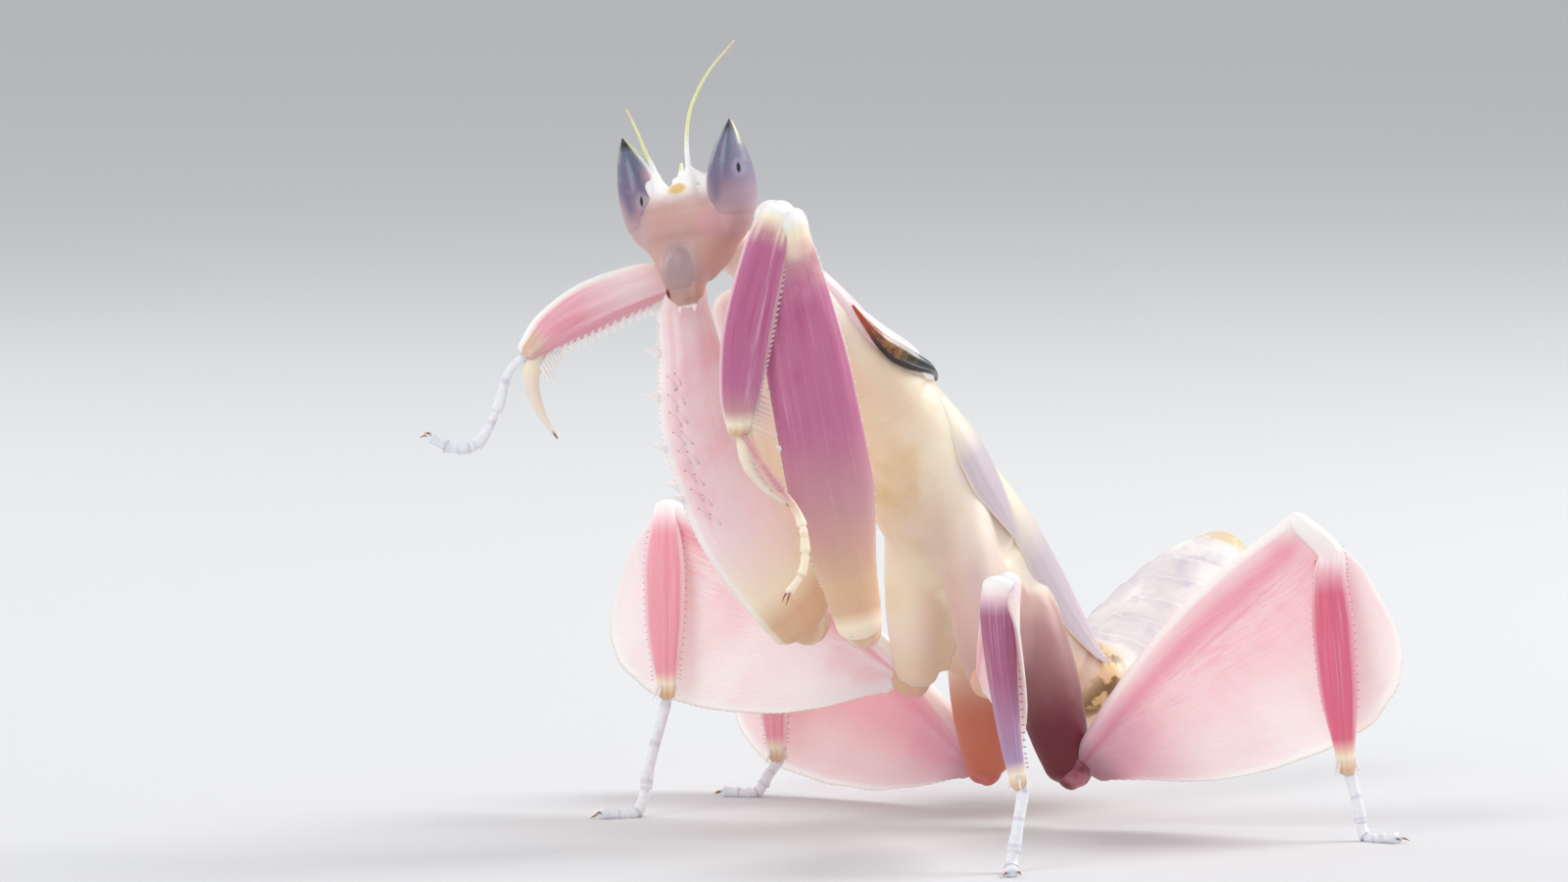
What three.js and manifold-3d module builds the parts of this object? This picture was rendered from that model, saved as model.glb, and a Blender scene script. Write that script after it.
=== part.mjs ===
// Orchid mantis: a nearly grown female nymph at life size, standing still.
// Millimetres, +Z up. It faces -Y, its left side is +X, and its feet stand on z = 0.
// Each part of the body is one closed solid: a loft of oval rings along a few stations.
// A neighbour that would overlap is cut away with a thin clearance at the joint.
import * as THREE from "three";
import { mergeVertices } from "three/addons/utils/BufferGeometryUtils.js";
import Module from "manifold-3d";

const wasm = await Module();
wasm.setup();

// ---------------------------------------------------------------- driving sizes
const JOINT_GAP = 0.04; // clearance between two parts that meet
const LEAST_HALF = 0.26; // no leg, feeler or lobe is thinner than twice this
const HEAD_AT = [-3.9, -12.0, 29.0];
const HEAD_YAW = 23; // degrees: the head is turned to its left
const HEAD_ROLL = -10.5; // degrees: its left eye is the higher one

// ---------------------------------------------------------------- colours
const finish = (color, roughness = 0.5) => () =>
  new THREE.MeshStandardMaterial({ color, roughness, metalness: 0 });
const blush = finish("#f3c9cf");
const mauve = finish("#cf7fa6");
const cream = finish("#f1e6cf");
const pearl = finish("#ece3ec");
const face = finish("#d9b5ab");
const eyeBlue = finish("#8f93ad", 0.2);
const straw = finish("#c9c48a");
const darkGreen = finish("#1f2a22", 0.35);
const dusky = finish("#9a4f63");
const bone = finish("#dfe4e2");

// ---------------------------------------------------------------- making shapes
const point = ([x, y, z]) => new THREE.Vector3(x, y, z);
const between = (a, b, share) => a.map((value, i) => value + (b[i] - value) * share);
const shifted = (a, direction, by) => a.map((value, i) => value + direction[i] * by);
const unit = (a) => point(a).normalize().toArray();
const minus = (a, b) => a.map((value, i) => value - b[i]);
const cross = (a, b) => point(a).cross(point(b)).toArray();

// A plain oval, squarer as its power grows.
function oval(power = 2) {
  const blunt = (value) => Math.sign(value) * Math.abs(value) ** (2 / power);
  return (angle, wide, deep) => [wide * blunt(Math.cos(angle)), deep * blunt(Math.sin(angle))];
}

// Rings of points and two poles become one closed geometry that faces outwards.
function closedSkin(rings, firstPole, lastPole) {
  const sides = rings[0].length;
  const points = [...rings.flat(), firstPole, lastPole];
  const first = points.length - 2;
  const last = points.length - 1;
  const index = [];
  for (let side = 0; side < sides; side++) {
    const next = (side + 1) % sides;
    index.push(first, next, side);
    for (let ring = 0; ring + 1 < rings.length; ring++) {
      const a = ring * sides + side;
      const b = ring * sides + next;
      index.push(a, b, b + sides, a, b + sides, a + sides);
    }
    const top = (rings.length - 1) * sides;
    index.push(last, top + side, top + next);
  }
  const geometry = new THREE.BufferGeometry().setFromPoints(points);
  geometry.setIndex(index);
  if (volumeOf(points, index) < 0) geometry.setIndex(index.reverse());
  return geometry;
}

function volumeOf(points, index) {
  let volume = 0;
  for (let i = 0; i < index.length; i += 3) {
    const [a, b, c] = [points[index[i]], points[index[i + 1]], points[index[i + 2]]];
    volume += a.dot(b.clone().cross(c)) / 6;
  }
  return volume;
}

// A loft along stations [place, half width, half depth]; its width is measured along `side`,
// and its depth along side x run. Its ends are domes of the given lengths, or flat at 0;
// `from` and `to` take only some of the stations.
function loft(stations, side, options = {}) {
  const { from = 0, to = stations.length - 1, steps = 8, sides = 10 } = options;
  const { section = oval(), domes = [0.4, 0.4], grow = 0, ease = (share) => share } = options;
  const path = new THREE.CatmullRomCurve3(stations.map(([at]) => point(at)));
  const size = new THREE.CatmullRomCurve3(stations.map(([, wide, deep]) => point([wide, deep, 0])));
  const last = stations.length - 1;
  const ringAt = (t, shrink, ahead) => {
    const along = path.getTangent(t);
    const wideWay = point(side).addScaledVector(along, -point(side).dot(along)).normalize();
    const deepWay = wideWay.clone().cross(along);
    const middle = path.getPoint(t).addScaledVector(along, ahead);
    const { x: wide, y: deep } = size.getPoint(t);
    return Array.from({ length: sides }, (_, i) => {
      const angle = (2 * Math.PI * i) / sides;
      const sizes = [(wide + grow) * shrink, (deep + grow) * shrink];
      const [across, down, lead = 0] = section(angle, ...sizes, t * last, shrink);
      const place = middle.clone().addScaledVector(wideWay, across).addScaledVector(deepWay, down);
      return place.addScaledVector(along, lead);
    });
  };
  const [start, end] = [from / last, to / last];
  const [nearDome, farDome] = domes.map((dome) => (dome > 0 ? dome + grow : 0));
  const slopes = sides > 8 ? [30, 60] : [45];
  const domeRings = (t, dome, way) =>
    (dome ? slopes : []).map((degrees) => {
      const bend = THREE.MathUtils.degToRad(degrees);
      return ringAt(t, Math.cos(bend), way * dome * Math.sin(bend));
    });
  const rings = [
    ...domeRings(start, nearDome, -1).reverse(),
    ...Array.from({ length: steps + 1 }, (_, i) => ringAt(start + (end - start) * ease(i / steps), 1, 0)),
    ...domeRings(end, farDome, 1),
  ];
  const pole = (t, ahead) => path.getPoint(t).addScaledVector(path.getTangent(t), ahead);
  return closedSkin(rings, pole(start, -nearDome), pole(end, farDome));
}

// A place on a loft's skin: a station number, an angle from its depth towards its width,
// and a height above the skin.
function onLoft(stations, side, station, degrees, height) {
  const t = station / (stations.length - 1);
  const path = new THREE.CatmullRomCurve3(stations.map(([at]) => point(at)));
  const size = new THREE.CatmullRomCurve3(stations.map(([, wide, deep]) => point([wide, deep, 0])));
  const along = path.getTangent(t);
  const wideWay = point(side).addScaledVector(along, -point(side).dot(along)).normalize();
  const deepWay = wideWay.clone().cross(along);
  const angle = THREE.MathUtils.degToRad(degrees);
  const { x: wide, y: deep } = size.getPoint(t);
  return path.getPoint(t)
    .addScaledVector(deepWay, (deep + height) * Math.cos(angle))
    .addScaledVector(wideWay, (wide + height) * Math.sin(angle))
    .toArray();
}

// A spine: a slim pyramid from inside its root to its tip.
const SPINE_TIP_HALF = 0.07;
const SPINE_SIDE = [0.31, 0.52, 0.79]; // any direction that no spine runs along
function spine(root, tip, half = 0.17, sides = 3) {
  const stations = [[root, half, half], [tip, SPINE_TIP_HALF, SPINE_TIP_HALF]];
  return loft(stations, SPINE_SIDE, { steps: 1, sides, domes: [0, 0] });
}

// ---------------------------------------------------------------- joining and cutting
function solid(geometry) {
  const bare = geometry.clone();
  bare.deleteAttribute("normal");
  bare.deleteAttribute("uv");
  const merged = mergeVertices(bare, 1e-5);
  const vertProperties = merged.attributes.position.array;
  const triVerts = new Uint32Array(merged.index.array);
  return new wasm.Manifold(new wasm.Mesh({ numProp: 3, vertProperties, triVerts }));
}

function geometryOf(body) {
  const { vertProperties, triVerts, numProp } = body.getMesh();
  const places = [];
  for (let i = 0; i < vertProperties.length; i += numProp) places.push(...vertProperties.slice(i, i + 3));
  const geometry = new THREE.BufferGeometry();
  geometry.setAttribute("position", new THREE.Float32BufferAttribute(places, 3));
  geometry.setIndex([...triVerts]);
  return geometry;
}

const joined = (...pieces) => geometryOf(pieces.map(solid).reduce((all, piece) => all.add(piece)));
const cut = (geometry, ...cutters) =>
  geometryOf(cutters.map(solid).reduce((left, cutter) => left.subtract(cutter), solid(geometry)));

const mantis = new THREE.Group();
function add(name, geometry, material, parent = mantis) {
  geometry.computeVertexNormals();
  const mesh = new THREE.Mesh(geometry, material());
  mesh.name = name;
  parent.add(mesh);
}

// ---------------------------------------------------------------- trunk
// Stations from the neck to the tip of the tail: [place, half width, half depth].
const TRUNK = [
  [[-4.0, -10.5, 28.2], 0.95, 0.95],
  [[-3.3, -8.3, 27.0], 1.5, 1.25],
  [[-2.8, -6.3, 25.4], 2.0, 1.45],
  [[-2.1, -3.5, 22.8], 1.5, 1.35],
  [[-1.8, -1.05, 20.06], 2.15, 2.3],
  [[-1.7, 1.24, 16.02], 2.8, 3.25],
  [[-1.7, 3.93, 12.87], 2.95, 2.95],
  [[-1.7, 6.5, 9.7], 2.9, 2.6],
  [[-1.8, 8.9, 7.1], 2.75, 2.2],
  [[-2.3, 11.9, 5.8], 3.5, 2.2],
  [[-2.9, 15.0, 6.7], 4.2, 2.3],
  [[-3.3, 17.8, 8.5], 4.1, 2.1],
  [[-3.6, 20.3, 10.5], 3.2, 1.65],
  [[-3.6, 22.1, 12.0], 1.5, 0.9],
];
const LEFT = [1, 0, 0];
const DOWN = [0, 0, -1];
const TRUNK_PARTS = [
  ["neck", 0, 1, 2, cream],
  ["prothorax", 1, 4, 5, blush],
  ["mesothorax", 4, 6, 3, cream],
  ["metathorax", 6, 8, 3, cream],
  ["abdomen_base", 8, 9.5, 2, pearl],
  ["abdomen_front", 9.5, 10.75, 2, pearl],
  ["abdomen_rear", 10.75, 12, 2, pearl],
  ["abdomen_tip", 12, 13, 2, pearl],
];
const PART_GAP = 0.012; // half of the thin cut between two lengths, in stations
const trunkLength = (from, to, steps, grow = 0) =>
  loft(TRUNK, LEFT, { from, to, steps, sides: 11, domes: [0, 0], grow });
const trunkCutters = TRUNK_PARTS.map(([, from, to, steps]) =>
  trunkLength(from, Math.min(to + PART_GAP, TRUNK.length - 1), steps, JOINT_GAP));

// ---------------------------------------------------------------- head
// The head's own frame: x to its left, y to the back, z up; the face looks along -y.
const headTurn = new THREE.Matrix4().makeRotationFromEuler(
  new THREE.Euler(0, THREE.MathUtils.degToRad(HEAD_ROLL), THREE.MathUtils.degToRad(HEAD_YAW), "ZYX"),
);
const headFrame = headTurn.clone().setPosition(point(HEAD_AT));
const HEAD = [
  [[0, -0.95, -3.85], 0.3, 0.3],
  [[0, -0.92, -3.5], 0.74, 0.6],
  [[0, -0.85, -3.0], 1.0, 0.82],
  [[0, -0.7, -2.5], 1.22, 1.0],
  [[0, -0.1, -1.9], 1.75, 1.3],
  [[0, 0.35, -1.3], 2.25, 1.6],
  [[0, 0.6, -0.4], 2.6, 1.75],
  [[0, 0.65, 0.4], 2.6, 1.7],
  [[0, 0.6, 0.9], 2.2, 1.5],
  [[0, 0.55, 1.3], 1.5, 1.2],
];
const eyeOf = (way, grow = 0) =>
  loft([
    [[way * 1.75, 0.6, -1.5], 0.3, 0.5],
    [[way * 2.0, 0.68, -0.9], 0.62, 0.95],
    [[way * 2.25, 0.73, -0.1], 0.98, 1.25],
    [[way * 2.33, 0.73, 0.8], 1.12, 1.37],
    [[way * 2.42, 0.7, 1.6], 1.08, 1.3],
    [[way * 2.55, 0.66, 2.4], 0.92, 1.08],
    [[way * 2.72, 0.6, 3.2], 0.62, 0.72],
    [[way * 2.86, 0.57, 3.85], 0.3, 0.33],
    [[way * 2.93, 0.55, 4.27], 0.08, 0.08],
  ], LEFT, { steps: 5, sides: 8, domes: [0.2, 0.06], grow });
const palpOf = (way, out) =>
  loft([
    [[way * 0.28, -0.95, -3.4], 0.26, 0.26],
    [[way * (0.34 + out), -1.05, -3.9], 0.26, 0.26],
    [[way * (0.28 + out), -1.15, -4.2], 0.26, 0.26],
  ], LEFT, { steps: 2, sides: 4, domes: [0, 0.15] });
// The feelers' thick white roots, and a small knob between them.
const feelerRoot = (way) =>
  loft([
    [[way * 0.85, -0.2, 1.1], 0.75, 0.5],
    [[way * 0.95, -0.3, 1.9], 0.4, 0.3],
    [[way * 0.92, -0.4, 2.45], LEAST_HALF, LEAST_HALF],
  ], LEFT, { steps: 2, sides: 6, domes: [0, 0.1] });
const knob = spine([0.2, -0.3, 1.3], [0.47, -0.2, 2.75], 0.42);
const skull = (grow = 0) =>
  loft(HEAD, LEFT, { steps: 6, sides: 10, section: oval(2.3), domes: [0.25, 0.2], grow });
const capsule = cut(
  joined(skull(), knob, feelerRoot(1), feelerRoot(-1), palpOf(1, 0.1), palpOf(-1, 0.1)),
  eyeOf(1, JOINT_GAP), eyeOf(-1, JOINT_GAP),
);
const LEFT_FEELER = [
  [[0.9, -0.38, 2.7], LEAST_HALF],
  [[0.98, -0.3, 3.7], LEAST_HALF],
  [[1.25, 0.1, 5.1], LEAST_HALF],
  [[1.95, 1.0, 6.6], LEAST_HALF],
  [[2.95, 2.2, 7.9], LEAST_HALF],
];
// The right feeler leans out and forward, and is the shorter one in this pose.
const RIGHT_FEELER = [
  [[-0.93, -0.41, 2.7], LEAST_HALF],
  [[-1.02, -0.7, 3.3], LEAST_HALF],
  [[-1.2, -0.85, 4.3], LEAST_HALF],
  [[-1.5, -1.0, 5.5], LEAST_HALF],
];
const feelerOf = (stations) =>
  loft(stations.map(([at, half]) => [at, half, half]), LEFT, { steps: 5, sides: 4, domes: [0, 0.12] });

const head = new THREE.Group();
head.position.copy(point(HEAD_AT));
head.setRotationFromMatrix(headTurn);
mantis.add(head);
add("head", capsule, face, head);
add("eye_left", eyeOf(1), eyeBlue, head);
add("eye_right", eyeOf(-1), eyeBlue, head);
add("antenna_left", feelerOf(LEFT_FEELER), straw, head);
add("antenna_right", feelerOf(RIGHT_FEELER), straw, head);
const skullInPlace = skull(JOINT_GAP).applyMatrix4(headFrame);

// ---------------------------------------------------------------- trunk in its lengths
for (const [name, from, to, steps, material] of TRUNK_PARTS) {
  const length = trunkLength(from + PART_GAP, to - PART_GAP, steps);
  add(name, name === "neck" ? cut(length, skullInPlace) : length, material);
}

// ---------------------------------------------------------------- shields on the trunk
const onTrunk = (station, degrees, height) => onLoft(TRUNK, LEFT, station, degrees, height);
// The shield over the neck and the first pair of hips, with its dark rim behind.
const plate = (grow = 0) =>
  loft([
    [onTrunk(1.4, 0, -0.6), 1.1, 0.5],
    [onTrunk(2.0, 0, -0.58), 1.7, 0.8],
    [onTrunk(3.0, 0, -0.47), 1.65, 0.9],
    [onTrunk(3.6, 0, -0.52), 1.9, 0.95],
    [onTrunk(3.86, 0, -0.85), 1.35, 0.7],
  ], LEFT, { steps: 5, sides: 8, domes: [0.3, 0.15], grow });
add("pronotum", cut(plate(), ...trunkCutters), blush);
for (const [side, way] of [["left", 1], ["right", -1]]) {
  const rim = [
    [onTrunk(2.6, way * 58, 0.3), 0.27, 0.27],
    [onTrunk(3.1, way * 68, 0.4), 0.28, 0.36],
    [onTrunk(3.55, way * 60, 0.42), 0.28, 0.45],
    [onTrunk(3.86, way * 41, 0.36), 0.28, 0.29],
    [onTrunk(4.04, way * 20, 0.2), 0.27, 0.27],
  ];
  const bar = loft(rim, LEFT, { steps: 4, sides: 5, domes: [0.2, 0.05] });
  add(`pronotum_rim_${side}`, cut(bar, ...trunkCutters, plate(JOINT_GAP)), darkGreen);
}

// Two pairs of wing pads: thin pointed lobes that lie along the back.
const fieldPad = (way, grow = 0) =>
  loft([
    [onTrunk(4.25, way * 52, 0), 0.6, 0.3],
    [onTrunk(4.7, way * 56, 0.05), 1.45, 0.32],
    [onTrunk(5.1, way * 62, 0.08), 1.5, 0.32],
    [onTrunk(5.5, way * 70, 0.1), 1.0, 0.3],
    [onTrunk(5.85, way * 78, 0.12), 0.34, 0.28],
  ], padSide(way, 58), { steps: 4, sides: 7, domes: [0.4, 0.2], grow });
const hindPad = (way, grow = 0) =>
  loft([
    [onTrunk(5.3, way * 46, 0), 0.8, 0.3],
    [onTrunk(6.0, way * 50, 0.05), 1.5, 0.32],
    [onTrunk(6.7, way * 52, 0.08), 1.6, 0.32],
    [onTrunk(7.4, way * 55, 0.1), 1.2, 0.3],
    [onTrunk(8.2, way * 67, 0.16), 0.34, 0.28],
  ], padSide(way, 54), { steps: 4, sides: 7, domes: [0.3, 0.2], grow });
function padSide(way, degrees) {
  const angle = THREE.MathUtils.degToRad(degrees);
  return [Math.cos(angle), -way * 0.83 * Math.sin(angle), -way * 0.55 * Math.sin(angle)];
}
for (const [side, way] of [["left", 1], ["right", -1]]) {
  add(`forewing_pad_${side}`, cut(fieldPad(way), ...trunkCutters), pearl);
  add(`hindwing_pad_${side}`, cut(hindPad(way), ...trunkCutters, fieldPad(way, JOINT_GAP)), pearl);
}

// Two short tail feelers on the underside of the tail's end.
for (const [side, way] of [["left", 1], ["right", -1]]) {
  const cercus = loft([
    [[-3.6 + way * 1.2, 21.6, 10.8], 0.3, 0.3],
    [[-3.6 + way * 1.6, 22.7, 11.4], 0.34, 0.34],
    [[-3.6 + way * 1.7, 23.2, 12.1], LEAST_HALF, LEAST_HALF],
  ], LEFT, { steps: 2, sides: 5, domes: [0.2, 0.15] });
  add(`cercus_${side}`, cut(cercus, ...trunkCutters), straw);
}

// ---------------------------------------------------------------- grasping legs
// A leg bends in one plane, so one side vector serves all its lengths.
const planeSide = (root, bend, end) => unit(cross(minus(bend, root), minus(end, bend)));
const taper = (a, b, sizes) =>
  sizes.map(([share, wide, deep, bow = 0]) => [between(a, b, share), wide, deep, bow]);
const bowed = (stations, way) => stations.map(([at, wide, deep, bow]) => [shifted(at, way, bow), wide, deep]);

// Places of the joints, then how far the thigh bows and swells towards its spiny edge, its half
// depth at the root, and how far the folded shin stands off it.
const GRASPING_LEGS = {
  left: {
    hip: [-2.0, -7.2, 25.2], hipEnd: [1.3, -5.2, 10.9], base: [3.02, -7.18, 10.4], knee: [0.95, -10.5, 29.8],
    ankle: [0.7, -12.4, 19.5], bow: -0.1, swell: 0, root: 1.1, over: 0.55, thighColor: mauve,
    claw: [[0.72, -12.05, 18.1], [1.32, -11.5, 16.88], [2.3, -10.6, 15.9]],
    toes: [
      [1.45, -12.45, 18.8], [2.3, -11.85, 17.4], [3.2, -11.1, 15.8], [3.6, -11.0, 14.7],
      [3.7, -11.2, 13.1], [3.4, -11.7, 12.2],
    ],
  },
  right: {
    hip: [-5.5, -7.4, 25.1], hipEnd: [-4.4, -3.4, 10.5], base: [-3.13, -5.54, 10.05],
    knee: [-5.6, -11.1, 26.2], ankle: [-6.4, -19.3, 23.0],
    bow: 1.2, swell: 0.3, root: 1.75, over: 0, thighColor: blush,
    claw: [[-6.3, -19.2, 21.9], [-5.8, -19.1, 20.4], [-5.1, -18.6, 19.1]],
    toes: [
      [-6.75, -20.1, 22.2], [-7.0, -20.7, 20.3], [-7.3, -21.7, 18.8], [-7.9, -22.6, 18.7],
      [-8.4, -23.4, 19.2],
    ],
  },
};
// Rows of share of the length, half width and half depth, and how far the middle bows.
const COXA = [[0, 1.25, 1.45], [0.2, 1.2, 1.4], [0.6, 0.9, 1.1], [1, 0.8, 0.85]];
const EDGE_SPINES = [2.4, 2.88, 3.4, 3.92]; // stations of the strong ones on the thigh
const SHIN_SIZES = [
  [0.035, 0.62, 0.78], [0.2, 0.58, 1.08, -0.35], [0.55, 0.55, 1.22, -0.62], [0.85, 0.5, 0.95, -0.45],
  [1, 0.42, 0.55, -0.1],
];
const SHIN_OVER = [0.5, 1, 1, 0.6, 0]; // how far each station of the shin stands off the thigh
const COMB_TEETH = 3; // short ones, on the thigh's inner edge and under the shin

for (const [name, leg] of Object.entries(GRASPING_LEGS)) {
  const side = planeSide(leg.base, leg.knee, leg.ankle);
  const thigh = unit(minus(leg.knee, leg.base));
  const belly = unit(cross(side, thigh)); // the spiny edge, towards the folded shin
  const coxa = loft(taper(leg.hip, leg.hipEnd, COXA), side, { steps: 3, sides: 8, domes: [0.6, 0.5] });
  const knuckle = (grow = 0) =>
    loft([
      [shifted(leg.hipEnd, DOWN, 0.75), 0.62, 0.68],
      [shifted(between(leg.hipEnd, leg.base, 0.5), DOWN, 0.75), 0.8, 0.85],
      [shifted(leg.base, DOWN, -0.1), 0.8, leg.root * 0.7],
    ], side, { steps: 2, sides: 6, domes: [0.45, 0.8], grow });
  const thighStations = bowed(taper(leg.base, leg.knee, [
    [0, 0.95, leg.root], [0.12, 1.0, leg.root + 0.3, 0.1 + leg.bow * 0.4],
    [0.35, 1.0, 2.1 + leg.swell, 0.15 + leg.bow], [0.6, 0.98, 2.05 + leg.swell, 0.1 + leg.bow],
    [0.82, 0.92, 1.6, leg.bow * 0.5], [0.97, 0.85, 1.2],
  ]), belly);
  const femur = (grow = 0) => loft(thighStations, side, { steps: 7, sides: 8, domes: [0.75, 0.5], grow });
  const onThigh = (station, degrees, height) => onLoft(thighStations, side, station, degrees, height);
  const spines = EDGE_SPINES.map((station) => {
    const tip = shifted(onThigh(station, -6, 0.62), thigh, 0.5);
    return spine(onThigh(station, -6, -0.4), tip, 0.26);
  });
  for (let i = 0; i < COMB_TEETH; i++) {
    const station = 2.1 + 0.6 * i;
    spines.push(spine(onThigh(station, 22, -0.35), onThigh(station, 24, 0.75), 0.22));
  }
  const shinBack = unit(cross(side, minus(leg.ankle, leg.knee)));
  const shinStations = bowed(taper(leg.knee, leg.ankle, SHIN_SIZES), shinBack)
    .map(([at, wide, deep], i) => [shifted(at, side, leg.over * SHIN_OVER[i]), wide, deep]);
  const shin = (grow = 0) => loft(shinStations, side, { steps: 5, sides: 7, domes: [0.3, 0.3], grow });
  const hook = loft([
    [between(leg.knee, leg.ankle, 0.93), 0.36, 0.52],
    [leg.claw[0], 0.3, 0.4], [leg.claw[1], 0.27, 0.28], [leg.claw[2], 0.07, 0.07],
  ], side, { steps: 3, sides: 5, domes: [0, 0.05] });
  const comb = Array.from({ length: COMB_TEETH }, (_, i) => {
    const station = 1.5 + 0.65 * i;
    const [root, tip] = [-0.4, 0.5].map((height) => onLoft(shinStations, side, station, 0, height));
    return spine(root, tip, 0.24);
  });
  const toes = loft([leg.ankle, ...leg.toes].map((at) => [at, LEAST_HALF, LEAST_HALF]), side, {
    steps: 6, sides: 5, domes: [0, 0.2],
  });

  add(`forecoxa_${name}`, cut(coxa, ...trunkCutters, knuckle(JOINT_GAP), femur(JOINT_GAP)), cream);
  add(`foretrochanter_${name}`, cut(knuckle(), femur(JOINT_GAP)), cream);
  add(`forefemur_${name}`, joined(femur(), ...spines), leg.thighColor);
  add(`foretibia_${name}`, cut(joined(shin(), hook, ...comb), femur(JOINT_GAP), ...spines), mauve);
  add(`foretarsus_${name}`, cut(toes, shin(JOINT_GAP), hook, ...comb), bone);
}

// ---------------------------------------------------------------- walking legs
// Places of the joints, then the petal's reach as a share of the thigh, the hip's girth, the
// petal's lean in degrees, how far the shin bows ahead, how much wider it is at the top, and
// how far below the knee it starts.
const WALKING_LEGS = {
  midleg_left: {
    hip: [-0.7, 1.8, 18.4], joint: [3.0, 0.7, 7.1], knee: [13.1, -6.82, 12.9], ankle: [14.6, -7.17, 3.9],
    foot: [15.2, -8.5, 0.22], toes: [16.3, -9.4, 0.22],
    reach: 0.5, girth: 1.15, lean: 4, ahead: 0.75, stout: 0.9, drop: 0,
  },
  midleg_right: {
    hip: [-3.0, 1.5, 19.2], joint: [-3.3, 1.8, 6.5], knee: [-14.8, -4.1, 14.3], ankle: [-12.7, -5.8, 5.7],
    foot: [-12.4, -8.0, 0.22], toes: [-13.0, -9.6, 0.22],
    reach: 0.54, girth: 1.3, lean: 9, ahead: 0.8, stout: 0, drop: 0,
  },
  hindleg_left: {
    hip: [-0.9, 5.4, 13.6], joint: [3.5, 5.5, 2.4], knee: [13.1, 11.4, 14.7], ankle: [15.7, 12.1, 3.3],
    foot: [16.8, 12.2, 0.22], toes: [18.3, 12.7, 0.22],
    reach: 0.56, girth: 1.35, lean: 9, ahead: 0.8, stout: 0, drop: 2,
  },
  hindleg_right: {
    hip: [-3.3, 5.3, 12.9], joint: [-3.6, 6.6, 1.9], knee: [-16.1, 4.0, 10.6], ankle: [-14.8, 3.0, 1.9],
    foot: [-15.2, 1.8, 0.22], toes: [-16.3, 0.7, 0.22],
    reach: 0.54, girth: 1.35, lean: 9, ahead: 0.8, stout: 0, drop: 0,
  },
};
// The petal's width along the thigh, as a share of its greatest: it rises steeply at the knee.
const PETAL = [
  [0, 0.13], [0.05, 0.23], [0.15, 0.43], [0.26, 0.62], [0.42, 0.81], [0.56, 0.93],
  [0.68, 1], [0.81, 0.97], [0.9, 0.85], [0.96, 0.68], [1, 0.4],
];
function petalWidth(share) {
  const next = Math.max(1, PETAL.findIndex(([at]) => at >= share));
  const [[a, low], [b, high]] = [PETAL[next - 1], PETAL[next]];
  return low + ((high - low) * (share - a)) / (b - a);
}
// A thigh's section: a round rod, arched along its back, whose underside runs out into a
// thin petal. Near the knee the petal's rim also reaches on past the thigh's end.
const BACK_ARCH = 0.9;
const RIM_LEAD = 0.08;
const PETAL_BEND = 2.4; // how far below the rod it has thinned to a petal
function thighSection(length, reach, whole) {
  return (angle, wide, deep, station, shrink) => {
    const share = THREE.MathUtils.clamp(station / whole, 0, 1);
    const width = Math.max(deep, petalWidth(share) * reach * length * shrink);
    const down = Math.sin(angle);
    const depth = down < 0 ? down * deep : width * (1 - Math.cos((Math.PI / 2) * down));
    const half = LEAST_HALF + (wide - LEAST_HALF) * Math.max(0, 1 - depth / PETAL_BEND) ** 1.5;
    const across = THREE.MathUtils.clamp(2.2 * Math.cos(angle), -1, 1) * half;
    const arch = BACK_ARCH * Math.sin(Math.PI * share) * (1 - Math.max(0, depth) / width);
    return [across, depth - arch, RIM_LEAD * Math.max(0, depth) * share ** 2];
  };
}

// Shares of each length with its half width and half depth.
const HIP = [[0.25, 0.98, 0.98], [0.45, 1.2, 1.2], [0.62, 1.22, 1.22], [0.8, 1.1, 1.1], [1, 0.8, 0.8]];
const THIGH = [[0, 0.55, 0.6], [0.25, 0.62, 0.62], [0.5, 0.62, 0.62], [0.75, 0.62, 0.62], [1, 0.6, 0.62]];
const SHIN = [
  [0, 0.44, 0.58], [0.12, 0.44, 0.64], [0.35, 0.4, 0.85],
  [0.6, 0.38, 0.8], [0.85, 0.36, 0.55], [1, 0.36, 0.42],
];
const SHIN_AHEAD = [0.5, 0.75, 0.85, 0.75, 0.55, 0.3]; // the shin bows forwards, clear of the petal
const SOLE_HALF = 0.3;

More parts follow.
